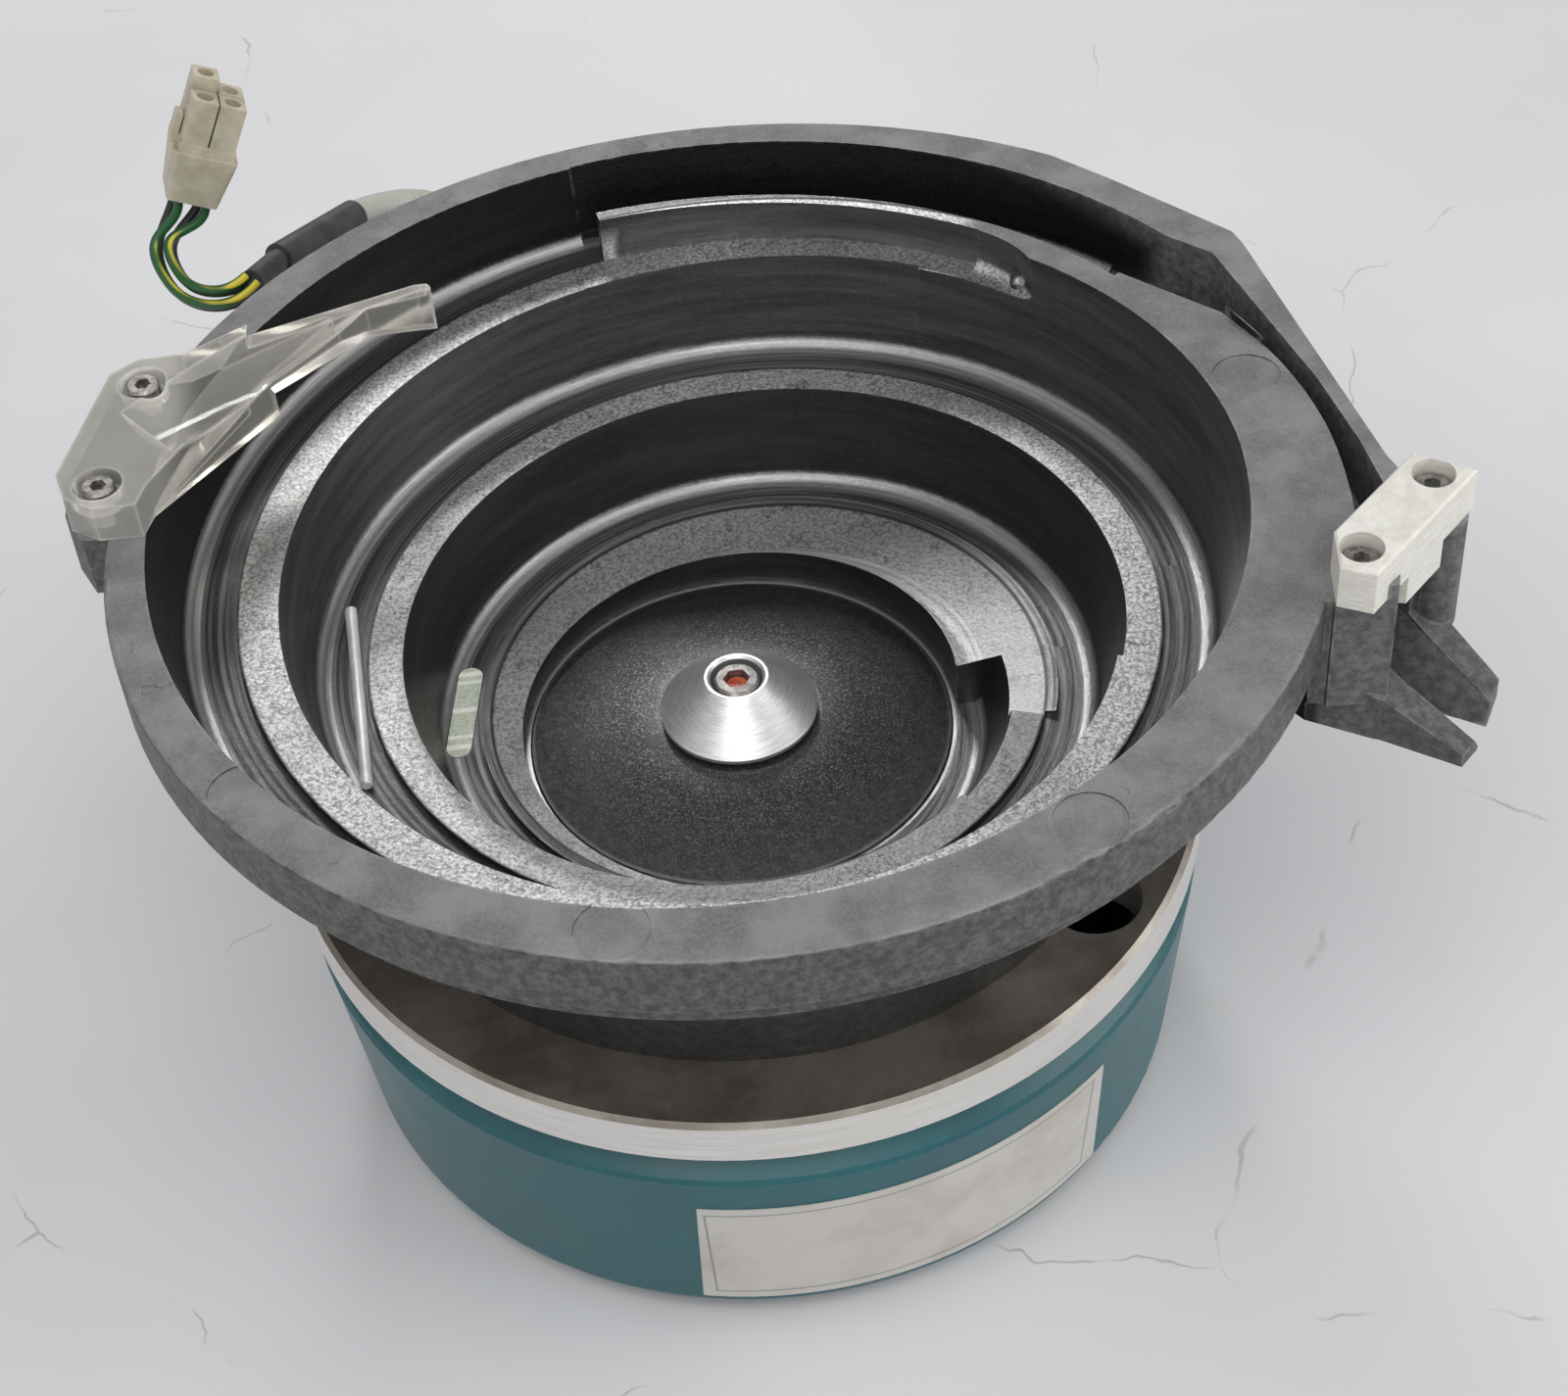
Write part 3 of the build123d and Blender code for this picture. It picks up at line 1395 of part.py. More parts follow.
# ---------------------------------------------------------------- all pieces
PIECES = {
    "bowl": build_bowl,
    "clamp_cone": build_clamp_cone,
    "clamp_screw": build_clamp_screw,
    "lacquer_dab": build_lacquer,
    "reflector": build_reflector,
    "track_pin": build_track_pin,
    "guide": build_guide,
    "guide_screws": build_guide_screws,
    "bridge_block": build_bridge_block,
    "bridge_screws": build_bridge_screws,
    "top_plate": build_top_plate,
    "hub_screws": build_hub_screws,
    "upper_screws": build_upper_screws,
    "upper_blocks": lambda: clamp_block(1),
    "upper_bars": lambda: clamp_bar(1),
    "upper_leaf_screws": lambda: leaf_screws(1),
    "armature_block": build_armature_block,
    "armature": build_armature,
    "armature_screws": build_armature_screws,
    "leaf_pack_a": lambda: leaf_pack(SPRING_ANGLES[0]),
    "leaf_pack_b": lambda: leaf_pack(SPRING_ANGLES[1]),
    "leaf_pack_c": lambda: leaf_pack(SPRING_ANGLES[2]),
    "lower_blocks": lambda: clamp_block(-1),
    "lower_bars": lambda: clamp_bar(-1),
    "lower_leaf_screws": lambda: leaf_screws(-1),
    "lower_screws": build_lower_screws,
    "magnet_core": build_magnet_core,
    "bobbin": build_bobbin,
    "coil": build_coil,
    "magnet_bracket": build_magnet_bracket,
    "bracket_screws": build_bracket_screws,
    "core_screws": build_core_screws,
    "base_housing": build_base_housing,
    "dust_seal": build_dust_seal,
    "rubber_feet": build_rubber_feet,
    "foot_screws": build_foot_screws,
    "label": build_label,
    "cable_gland": build_gland,
    "cable_tube": build_cable_tube,
    "heat_shrink": build_heat_shrink,
    "black_wire_a": lambda: build_wire(0),
    "black_wire_b": lambda: build_wire(1),
    "earth_wire_a": lambda: build_wire(2),
    "earth_wire_b": lambda: build_wire(3),
    "connector": build_connector,
    "contacts": build_contacts,
}


def main():
    """Build and write every piece."""
    os.makedirs("parts", exist_ok=True)
    for name, build in PIECES.items():
        save(build(), name)


main()
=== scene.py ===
"""Vibratory bowl feeder: procedural looks, floor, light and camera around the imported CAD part."""

import json
import math

import bpy
from mathutils import Matrix, Vector


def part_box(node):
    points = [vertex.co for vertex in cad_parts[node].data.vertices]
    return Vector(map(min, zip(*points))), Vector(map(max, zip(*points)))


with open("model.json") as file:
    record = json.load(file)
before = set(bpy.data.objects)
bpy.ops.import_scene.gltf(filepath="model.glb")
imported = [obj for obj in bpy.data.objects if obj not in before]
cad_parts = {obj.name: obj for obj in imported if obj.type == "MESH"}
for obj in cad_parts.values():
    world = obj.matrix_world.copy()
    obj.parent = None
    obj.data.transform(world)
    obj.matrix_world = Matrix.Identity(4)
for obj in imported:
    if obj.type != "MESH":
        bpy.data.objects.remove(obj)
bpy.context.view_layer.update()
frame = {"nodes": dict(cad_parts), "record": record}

# Places in the materials are millimetres in the part's frame
MM = 1000.0
RIM_R = 123.5
RIM_TOP = 153.5
RIM_DEPTH = 13.0
DIVIDER_FALL = 4.6
FLOOR_DISC_R = 46.0
CONE_DUST_R = 21.0
SPIRAL_PITCH = 23.7
SPIRAL_RISE = 20.5
SPIRAL_START_R = 71.0
SPIRAL_START_TURN = 0.75
LOWER_WALL_R = 83.0
GROOVE_FILLET = 3.5
GROOVE_W = 11.4
OUTER_WALL_R = 109.0
CONE_FOOT_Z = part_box("clamp_cone")[0].z * MM
SHEET_THICKNESS = 0.5
LABEL_INSET = 2.2
LABEL_LINE = 0.5

# Light and camera are in metres. The sky is front light at FRONT_EDGE and back light at BACK_EDGE,
# which are shares of its direction along +Y.
FRONT_EDGE = -0.2
BACK_EDGE = 0.75
FRONT_LIGHT = (0.78, 0.78, 0.79)
BACK_LIGHT = (0.22, 0.22, 0.225)
LIGHT_TARGET = Vector((0.0, 0.0, 0.12))
# Name, place, width, height and watts of each soft light
SOFTBOXES = (
    ("key", Vector((-0.10, 1.16, 0.92)), 0.30, 0.22, 4.5),
    ("side", Vector((1.45, -0.35, 0.75)), 1.0, 0.9, 8.0),
    ("overhead", Vector((-0.1, -0.9, 1.8)), 1.4, 1.4, 13.0),
)
TABLE_SIZE = 8.0
PLATE_EDGE_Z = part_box("top_plate")[0].z
CAMERA_DISTANCE = 0.6560680
CAMERA_ELEVATION = math.radians(46.7942)
CAMERA_AIM = Vector((0.0097903, 0.0, 0.0295934 + PLATE_EDGE_Z))
CAMERA_ROLL = math.radians(-4.948)
SENSOR_WIDTH = 36.0
LENS = 67.5


# ---------------------------------------------------------------- node helpers
class Look:
    """A node material being built. Its places are millimetres in the part's frame."""

    def __init__(self, name):
        self.material = bpy.data.materials.new(name)
        self.material.use_nodes = True
        tree = self.material.node_tree
        self.nodes, self.links = tree.nodes, tree.links
        self.shader = self.nodes["Principled BSDF"]
        where = self.nodes.new("ShaderNodeTexCoord")
        self.place = self.vector("SCALE", where.outputs["Object"], MM)
        self.x, self.y, self.z = self.split(self.place)
        self.normal = where.outputs["Normal"]
        self.up = self.split(self.normal)[2]

    def put(self, socket, value):
        """Sets an input from a number, a colour or another node's output."""
        if isinstance(value, bpy.types.NodeSocket):
            self.links.new(value, socket)
        elif isinstance(value, tuple) and len(socket.default_value) == 4:
            socket.default_value = (*value, 1.0)
        else:
            socket.default_value = value

    def split(self, vector):
        node = self.nodes.new("ShaderNodeSeparateXYZ")
        self.put(node.inputs[0], vector)
        return node.outputs[0], node.outputs[1], node.outputs[2]

    def join(self, x, y, z):
        node = self.nodes.new("ShaderNodeCombineXYZ")
        for socket, value in zip(node.inputs, (x, y, z)):
            self.put(socket, value)
        return node.outputs[0]

    def vector(self, operation, a, b):
        node = self.nodes.new("ShaderNodeVectorMath")
        node.operation = operation
        self.put(node.inputs[0], a)
        self.put(node.inputs[3] if operation == "SCALE" else node.inputs[1], b)
        return node.outputs["Value" if operation == "DOT_PRODUCT" else "Vector"]

    def math(self, operation, a, b=0.0):
        node = self.nodes.new("ShaderNodeMath")
        node.operation = operation
        self.put(node.inputs[0], a)
        self.put(node.inputs[1], b)
        return node.outputs[0]

    def between(self, value, low, high):
        """0 at low, 1 at high, smooth in between; low may be the larger."""
        node = self.nodes.new("ShaderNodeMapRange")
        node.interpolation_type = "SMOOTHSTEP"
        self.put(node.inputs["Value"], value)
        if low < high:
            self.put(node.inputs["From Min"], low)
            self.put(node.inputs["From Max"], high)
            return node.outputs[0]
        self.put(node.inputs["From Min"], high)
        self.put(node.inputs["From Max"], low)
        return self.math("SUBTRACT", 1.0, node.outputs[0])

    def band(self, value, low, high, soft):
        """1 between low and high."""
        rise = self.between(value, low - soft, low + soft)
        return self.math("MULTIPLY", rise, self.between(value, high + soft, high - soft))

    def noise(self, size, detail=4.0, rough=0.55, vector=None):
        """Noise whose largest blots are about size millimetres."""
        node = self.nodes.new("ShaderNodeTexNoise")
        self.put(node.inputs["Vector"], vector or self.place)
        node.inputs["Scale"].default_value = 1.0 / size
        node.inputs["Detail"].default_value = detail
        node.inputs["Roughness"].default_value = rough
        return node.outputs["Fac"]

    def cells(self, size, feature="F1", vector=None):
        node = self.nodes.new("ShaderNodeTexVoronoi")
        node.feature = feature
        self.put(node.inputs["Vector"], vector or self.place)
        node.inputs["Scale"].default_value = 1.0 / size
        return node.outputs["Distance"]

    def mix(self, factor, a, b):
        node = self.nodes.new("ShaderNodeMix")
        node.data_type = "RGBA"
        self.put(node.inputs[0], factor)
        self.put(node.inputs[6], a)
        self.put(node.inputs[7], b)
        return node.outputs[2]

    def lerp(self, factor, a, b):
        node = self.nodes.new("ShaderNodeMix")
        self.put(node.inputs[0], factor)
        self.put(node.inputs[2], a)
        self.put(node.inputs[3], b)
        return node.outputs[0]

    def both(self, *values):
        """Product of masks."""
        product = values[0]
        for value in values[1:]:
            product = self.math("MULTIPLY", product, value)
        return product

    def edges(self, radius):
        """1 where the surface bends within a radius in millimetres: worn corners."""
        bevel = self.nodes.new("ShaderNodeBevel")
        bevel.samples = 2
        bevel.inputs["Radius"].default_value = radius / MM
        geometry = self.nodes.new("ShaderNodeNewGeometry").outputs["Normal"]
        same = self.vector("DOT_PRODUCT", bevel.outputs[0], geometry)
        return self.between(same, 0.995, 0.9)

    def bump(self, height, strength, distance=0.3):
        node = self.nodes.new("ShaderNodeBump")
        node.inputs["Strength"].default_value = strength
        node.inputs["Distance"].default_value = distance / MM
        self.put(node.inputs["Height"], height)
        self.put(self.shader.inputs["Normal"], node.outputs[0])

    def done(self, colour, metallic=0.0, roughness=0.5, **others):
        self.put(self.shader.inputs["Base Color"], colour)
        self.put(self.shader.inputs["Metallic"], metallic)
        self.put(self.shader.inputs["Roughness"], roughness)
        for name, value in others.items():
            self.put(self.shader.inputs[name.replace("_", " ")], value)
        return self.material


def grey(value, warm=0.0):
    return (value * (1 + warm), value, value * (1 - warm))


# ---------------------------------------------------------------- cast bowl
def radius_and_turn(look):
    """Distance from the bowl's axis and the share of a turn the track has climbed there."""
    squares = [look.math("POWER", side, 2.0) for side in (look.x, look.y)]
    radius = look.math("SQRT", look.math("ADD", *squares))
    angle = look.math("ARCTAN2", look.y, look.x)
    return radius, look.math("FRACT", look.math("MULTIPLY", angle, -0.5 / math.pi))


def from_wall_foot(look, radius, turn):
    """Distance inward from the foot of the track's wall."""
    turns_out = look.math("DIVIDE", look.math("SUBTRACT", radius, SPIRAL_START_R), SPIRAL_PITCH)
    along = look.math("SUBTRACT", look.math("ADD", turns_out, SPIRAL_START_TURN), turn)
    share = look.math("SUBTRACT", 1.0, look.math("FRACT", along))
    return look.math("MULTIPLY", share, SPIRAL_PITCH)


def around(look, across, turn, stretch, height=0.0):
    """Coordinates stretched along the track, for streaks that run round the bowl."""
    return look.join(across, look.math("MULTIPLY", turn, 360.0 / stretch), height)


def unwound(look, value, turn, rise):
    """A coordinate with the track's rise per turn taken out of it."""
    return look.math("ADD", value, look.math("MULTIPLY", turn, -rise))


def scratches(look, size, amount):
    """Broken, wandering hairlines."""
    wander = look.join(look.noise(size * 0.7), look.noise(size * 0.5), look.noise(size * 0.6))
    place = look.vector("ADD", look.place, look.vector("SCALE", wander, size * 1.4))
    line = look.between(look.cells(size, "DISTANCE_TO_EDGE", place), 0.30 / size, 0.08 / size)
    return look.both(line, look.between(look.noise(size * 1.1, 3.0), 0.54, 0.62), amount)


def track_colour(look, radius, turn):
    """Speckled lands, a polished fillet painted lighter as a highlight line and a grimy groove along
    each wall's foot, with painted shade on the lowest land and a painted shadow line at the groove's
    edge.
    """
    inward = from_wall_foot(look, radius, turn)
    speckle = look.between(look.noise(0.8, 4.0, 0.75), 0.40, 0.60)
    patch = look.between(look.noise(28.0, 3.0), 0.40, 0.70)
    # Painted shade: the lowest land is darkened where it slopes down to the floor disc.
    lowest_land_shade = look.between(radius, SPIRAL_START_R + 1.0, SPIRAL_START_R - 3.0)
    land = look.mix(speckle, grey(0.28, 0.01), grey(0.68, 0.01))
    land = look.mix(look.math("MULTIPLY", patch, 0.30), land, grey(0.16))
    land = look.mix(look.math("MULTIPLY", lowest_land_shade, 0.6), land, grey(0.12))
    land = look.mix(scratches(look, 5.0, 0.6), land, grey(0.05))
    streak = look.noise(0.9, 5.0, 0.65, around(look, inward, turn, 60.0))
    # Painted highlight: the fillet is coloured lighter than the groove. This is partly real polish
    # from the parts and partly the light's highlight line.
    polished_with_highlight = look.mix(look.between(streak, 0.35, 0.65), grey(0.22), grey(0.40, 0.02))
    grime = look.mix(look.between(streak, 0.35, 0.7), grey(0.06), grey(0.24))
    in_fillet = look.between(inward, GROOVE_FILLET + 1.5, GROOVE_FILLET - 0.6)
    in_groove = look.between(inward, GROOVE_W + 0.5, GROOVE_W - 0.3)
    # Painted shadow: a near-black line along the step between groove and land, where the crevice
    # lies in shade.
    line = look.band(inward, GROOVE_W - 0.3, GROOVE_W + 0.4, 0.25)
    colour = look.mix(in_groove, land, look.mix(in_fillet, grime, polished_with_highlight))
    return look.mix(look.math("MULTIPLY", line, 0.8), colour, grey(0.02))


def wall_colour(look, radius, turn):
    """Walls painted dark as shade, darker still low down and at the outer wall, rubbed a little
    lighter in long streaks.
    """
    upward = unwound(look, look.z, turn, SPIRAL_RISE)
    across = unwound(look, radius, turn, SPIRAL_PITCH)
    streak = look.noise(4.0, 6.0, 0.7, around(look, across, turn, 9.0, upward))
    scuff = look.between(look.noise(0.8, 4.0, 0.7), 0.5, 0.72)
    # Painted shade: the walls' base greys are far darker than the lands of the same casting.
    colour = look.mix(look.between(streak, 0.3, 0.72), grey(0.085), grey(0.18, 0.01))
    colour = look.mix(look.math("MULTIPLY", scuff, 0.30), colour, grey(0.22))
    pits = look.between(look.noise(1.6, 4.0, 0.8), 0.60, 0.72)
    colour = look.mix(look.math("MULTIPLY", pits, 0.6), colour, grey(0.015))
    # Painted shade: walls inside the lower wall radius are darkened further.
    lower_wall_shade = look.both(look.between(radius, LOWER_WALL_R + 5.0, LOWER_WALL_R - 5.0), 0.6)
    colour = look.mix(lower_wall_shade, colour, grey(0.03))
    # Painted shade: the outer wall is darkened nearly to black.
    outer_wall_shade = look.between(radius, OUTER_WALL_R - 2.0, OUTER_WALL_R + 2.0)
    return look.mix(look.math("MULTIPLY", outer_wall_shade, 0.85), colour, grey(0.012))


def disc_colour(look, radius):
    """Near-black floor with fine bright grains, paler round the cone, inside a bright ring that is a
    painted highlight on the disc's edge.
    """
    grain = look.between(look.noise(0.5, 2.0, 0.8), 0.52, 0.62)
    halo = look.between(radius, CONE_DUST_R + 6.0, CONE_DUST_R - 6.0)
    colour = look.mix(grain, grey(0.026), grey(0.22))
    colour = look.mix(look.math("MULTIPLY", halo, 0.5), colour, grey(0.17, 0.02))
    patch = look.between(look.noise(22.0, 3.0), 0.45, 0.7)
    colour = look.mix(look.math("MULTIPLY", patch, 0.25), colour, grey(0.09))
    # Painted highlight: a thin bright line along the disc's edge.
    ring_highlight = look.band(radius, FLOOR_DISC_R - 0.9, FLOOR_DISC_R + 0.9, 0.4)
    return look.mix(look.math("MULTIPLY", ring_highlight, 0.85), colour, grey(0.65))


def rim_colour(look):
    """Mottled rim with dark dents and rubbed streaks."""
    mottle = look.between(look.noise(14.0, 6.0, 0.6), 0.35, 0.68)
    fine = look.between(look.noise(0.7, 4.0, 0.75), 0.4, 0.64)
    colour = look.mix(mottle, grey(0.13), grey(0.22, -0.01))
    colour = look.mix(look.math("MULTIPLY", fine, 0.35), colour, grey(0.28))
    colour = look.mix(scratches(look, 22.0, 0.6), colour, grey(0.045))
    stained = look.between(look.noise(9.0, 5.0, 0.7), 0.66, 0.74)
    return look.mix(look.math("MULTIPLY", stained, 0.7), colour, grey(0.05))


def outside_colour(look):
    """Rough grey casting, darker toward the foot."""
    rough = look.between(look.noise(2.2, 6.0, 0.75), 0.35, 0.7)
    low = look.between(look.z, RIM_TOP - RIM_DEPTH, CONE_FOOT_Z)
    colour = look.mix(rough, grey(0.07), grey(0.17, 0.01))
    return look.mix(look.math("MULTIPLY", low, 0.5), colour, grey(0.045))


def cast_aluminium():
    """One casting: rim, outside, walls, track and floor disc told apart by place and slope."""
    look = Look("cast_aluminium")
    radius, turn = radius_and_turn(look)
    flat = look.between(look.up, 0.35, 0.75)
    inside = look.between(radius, RIM_R + 1.0, RIM_R - 1.0)
    eastward = look.between(look.x, 20.0, 75.0)
    top = look.lerp(eastward, RIM_TOP - 1.0, RIM_TOP - 1.0 - DIVIDER_FALL)
    on_top = look.both(look.between(look.math("SUBTRACT", look.z, top), -0.4, 0.4), flat)
    outward = look.vector("DOT_PRODUCT", look.join(look.x, look.y, 0.0), look.normal)
    turned_out = look.between(look.math("DIVIDE", outward, radius), 0.05, 0.3)
    floor = look.both(flat, look.between(radius, FLOOR_DISC_R + 1.5, FLOOR_DISC_R + 0.5))
    colour = look.mix(flat, wall_colour(look, radius, turn), track_colour(look, radius, turn))
    colour = look.mix(floor, colour, disc_colour(look, radius))
    colour = look.mix(turned_out, colour, outside_colour(look))
    colour = look.mix(look.math("SUBTRACT", 1.0, inside), colour, outside_colour(look))
    colour = look.mix(on_top, colour, rim_colour(look))
    nick = look.between(look.noise(7.0, 4.0, 0.7), 0.44, 0.58)
    colour = look.mix(look.both(look.edges(0.8), nick, 0.55), colour, grey(0.42))
    fine = look.noise(0.8, 5.0, 0.7)
    look.bump(look.math("ADD", fine, look.math("MULTIPLY", look.noise(6.0), 2.0)), 0.35, 0.25)
    as_cast = look.math("MAXIMUM", on_top, look.math("SUBTRACT", 1.0, inside))
    rubbed = look.lerp(look.between(fine, 0.35, 0.65), 0.30, 0.42)
    return look.done(colour, look.lerp(as_cast, 0.85, 0.2), look.lerp(as_cast, rubbed, 0.65))


# ---------------------------------------------------------------- other metals
def machined_plate():
    """Face-turned top with brown stains and a bright turned edge."""
    look = Look("machined_plate")
    radius, turn = radius_and_turn(look)
    rings = look.noise(0.5, 3.0, 0.6, look.join(radius, look.math("MULTIPLY", turn, 4.0), 0.0))
    stain = look.between(look.noise(26.0, 6.0, 0.65), 0.36, 0.66)
    spots = look.between(look.noise(3.0, 4.0, 0.7), 0.66, 0.76)
    top = look.mix(stain, (0.21, 0.185, 0.155), (0.36, 0.33, 0.29))
    top = look.mix(look.math("MULTIPLY", spots, 0.7), top, (0.10, 0.075, 0.055))
    lines = look.noise(0.35, 3.0, 0.7, look.join(0.0, look.math("MULTIPLY", turn, 8.0), look.z))
    edge = look.mix(look.between(lines, 0.3, 0.7), (0.70, 0.675, 0.64), (0.86, 0.84, 0.81))
    flat = look.between(look.up, 0.3, 0.6)
    colour = look.mix(flat, edge, top)
    look.bump(look.mix(flat, lines, rings), 0.12, 0.1)
    return look.done(colour, 0.85, look.lerp(flat, 0.34, 0.42))


def turned_steel():
    """Satin cone with concentric tool marks."""
    look = Look("turned_steel")
    radius, turn = radius_and_turn(look)
    rings = look.noise(0.35, 3.0, 0.6, look.join(radius, look.math("MULTIPLY", turn, 6.0), look.z))
    colour = look.mix(look.between(rings, 0.3, 0.7), grey(0.60, 0.01), grey(0.80, 0.01))
    look.bump(rings, 0.12, 0.1)
    return look.done(colour, 0.85, 0.40)


def metal(name, dark, light, size, roughness, metallic=0.9, warm=0.01):
    """Plain metal mottled between two greys."""
    look = Look(name)
    mottle = look.between(look.noise(size, 5.0, 0.65), 0.35, 0.68)
    colour = look.mix(mottle, grey(dark, warm), grey(light, warm))
    fine = look.noise(size / 6.0, 3.0)
    look.bump(fine, 0.15, 0.1)
    return look.done(colour, metallic, look.lerp(fine, roughness - 0.08, roughness + 0.08))


def laminations():
    """Stacked sheet edges."""
    look = Look("laminations")
    sheets = look.math("PINGPONG", look.y, SHEET_THICKNESS / 2)
    colour = look.mix(look.between(sheets, 0.05, 0.16), grey(0.06), grey(0.26))
    look.bump(sheets, 0.4, 0.2)
    return look.done(colour, 0.8, look.lerp(look.noise(3.0), 0.35, 0.6))


def teal_paint():
    """Satin paint with faint orange peel, a little dust and rubbed edges."""
    look = Look("teal_paint")
    blot = look.between(look.noise(30.0, 4.0), 0.35, 0.7)
    colour = look.mix(blot, (0.001, 0.076, 0.092), (0.003, 0.098, 0.115))
    dust = look.between(look.noise(2.5, 6.0, 0.8), 0.56, 0.74)
    colour = look.mix(look.math("MULTIPLY", dust, 0.05), colour, (0.35, 0.45, 0.45))
    worn = look.both(look.edges(0.6), look.between(look.noise(4.0, 4.0, 0.7), 0.48, 0.6), 0.5)
    colour = look.mix(worn, colour, (0.05, 0.30, 0.33))
    look.bump(look.noise(1.6, 2.0), 0.10, 0.2)
    return look.done(colour, 0.0, look.lerp(blot, 0.34, 0.44), Coat_Weight=0.12, Coat_Roughness=0.25)


# ---------------------------------------------------------------- plastics, rubber and film
def plastic(name, dark, light, size, roughness, **others):
    """Plain plastic blotched between two colours."""
    look = Look(name)
    blot = look.between(look.noise(size, 5.0, 0.6), 0.35, 0.68)
    look.bump(look.noise(size / 8.0, 3.0), 0.12, 0.15)
    return look.done(look.mix(blot, dark, light), 0.0, roughness, **others)


def clear_acrylic():
    """Clear, slightly yellowed sheet with fine scratches, hazier at its thick pads."""
    look = Look("clear_acrylic")
    haze = look.between(look.noise(9.0, 5.0, 0.7), 0.4, 0.75)
    scratch = look.noise(1.0, 5.0, 0.8, look.vector("MULTIPLY", look.place, (0.25, 1.0, 1.0)))
    colour = look.mix(haze, (0.93, 0.91, 0.85), (0.85, 0.82, 0.74))
    look.bump(scratch, 0.05, 0.1)
    outer_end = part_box("guide")[0].x * MM
    thick = look.between(look.x, outer_end + 28.0, outer_end + 20.0)
    clear = look.lerp(look.edges(1.2), look.lerp(thick, 0.88, 0.68), 0.45)
    return look.done(colour, 0.0, look.lerp(haze, 0.04, 0.20), Transmission_Weight=clear, IOR=1.25)


def clear_tube():
    """Cloudy, yellowed sleeve."""
    look = Look("clear_tube")
    haze = look.between(look.noise(12.0, 4.0), 0.35, 0.7)
    colour = look.mix(haze, (0.80, 0.81, 0.74), (0.70, 0.71, 0.62))
    return look.done(colour, 0.0, look.lerp(haze, 0.25, 0.4), Transmission_Weight=0.55, IOR=1.45)


def white_nylon():
    """Sawn nylon with faint saw lines and greasy smudges."""
    look = Look("white_nylon")
    saw = look.noise(0.5, 3.0, 0.6, look.vector("MULTIPLY", look.place, (0.15, 0.15, 1.0)))
    smudge = look.between(look.noise(8.0, 5.0, 0.65), 0.5, 0.75)
    colour = look.mix(look.between(saw, 0.35, 0.65), (0.62, 0.605, 0.545), (0.72, 0.71, 0.66))
    colour = look.mix(look.math("MULTIPLY", smudge, 0.30), colour, (0.62, 0.59, 0.50))
    look.bump(saw, 0.2, 0.15)
    return look.done(colour, 0.0, 0.5, Subsurface_Weight=0.15, Subsurface_Scale=0.004)


def milky_nylon():
    """Aged, slightly see-through plug body."""
    look = Look("milky_nylon")
    blot = look.between(look.noise(6.0, 4.0), 0.35, 0.7)
    colour = look.mix(blot, (0.37, 0.34, 0.245), (0.50, 0.47, 0.37))
    look.bump(look.noise(1.0), 0.08, 0.1)
    return look.done(colour, 0.0, 0.42, Subsurface_Weight=0.25, Subsurface_Scale=0.003)


def earth_wire():
    """Green insulation with yellow stripes along it."""
    look = Look("earth_wire")
    side = look.vector("DOT_PRODUCT", look.normal, (0.55, -0.45, 0.70))
    stripe = look.between(look.math("ADD", side, look.noise(14.0, 1.0)), 1.15, 1.35)
    colour = look.mix(stripe, (0.012, 0.085, 0.022), (0.62, 0.50, 0.03))
    return look.done(colour, 0.0, look.lerp(look.noise(3.0), 0.3, 0.5))


def reflective_film():
    """Greenish-white film pressed into a net of diamond cells."""
    look = Look("reflective_film")
    net = 0.0
    for lean in (1.0, -1.0):
        across = look.math("ADD", look.y, look.math("MULTIPLY", look.z, 2.6 * lean))
        line = look.between(look.math("PINGPONG", across, 4.5), 0.8, 0.3)
        net = look.math("MAXIMUM", line, net)
    beads = look.cells(0.7)
    colour = look.mix(look.between(beads, 0.2, 0.7), (0.60, 0.64, 0.52), (0.44, 0.48, 0.39))
    colour = look.mix(look.math("MULTIPLY", net, 0.7), colour, (0.88, 0.90, 0.84))
    smudge = look.between(look.noise(5.0, 4.0, 0.7), 0.5, 0.75)
    colour = look.mix(look.math("MULTIPLY", smudge, 0.4), colour, (0.35, 0.38, 0.34))
    look.bump(beads, 0.2, 0.1)
    return look.done(colour, 0.0, 0.3)


def label_film():
    """Plain off-white label with a thin grey frame, yellowed and specked."""
    look = Look("label_film")
    low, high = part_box("label")
    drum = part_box("base_housing")[1].x
    start, end = [math.asin(side / drum) * drum * MM for side in (low.x, high.x)]
    bottom, top = low.z * MM, high.z * MM
    angle = look.math("ARCTAN2", look.x, look.math("MULTIPLY", look.y, -1.0))
    along = look.math("MULTIPLY", angle, drum * MM)

    def field(inset):
        """1 inside a rectangle this far in from the label's edges."""
        across = look.band(along, start + inset, end - inset, 0.1)
        return look.both(across, look.band(look.z, bottom + inset, top - inset, 0.1))

    ink = look.math("SUBTRACT", field(LABEL_INSET), field(LABEL_INSET + LABEL_LINE))
    yellowed = look.between(look.noise(18.0, 5.0, 0.65), 0.4, 0.7)
    colour = look.mix(yellowed, (0.53, 0.51, 0.475), (0.45, 0.43, 0.385))
    grime = look.between(look.noise(1.4, 6.0, 0.8), 0.6, 0.72)
    colour = look.mix(look.math("MULTIPLY", grime, 0.45), colour, (0.28, 0.26, 0.23))
    colour = look.mix(look.math("MULTIPLY", ink, 0.7), colour, grey(0.16))
    return look.done(colour, 0.0, look.lerp(yellowed, 0.4, 0.55))


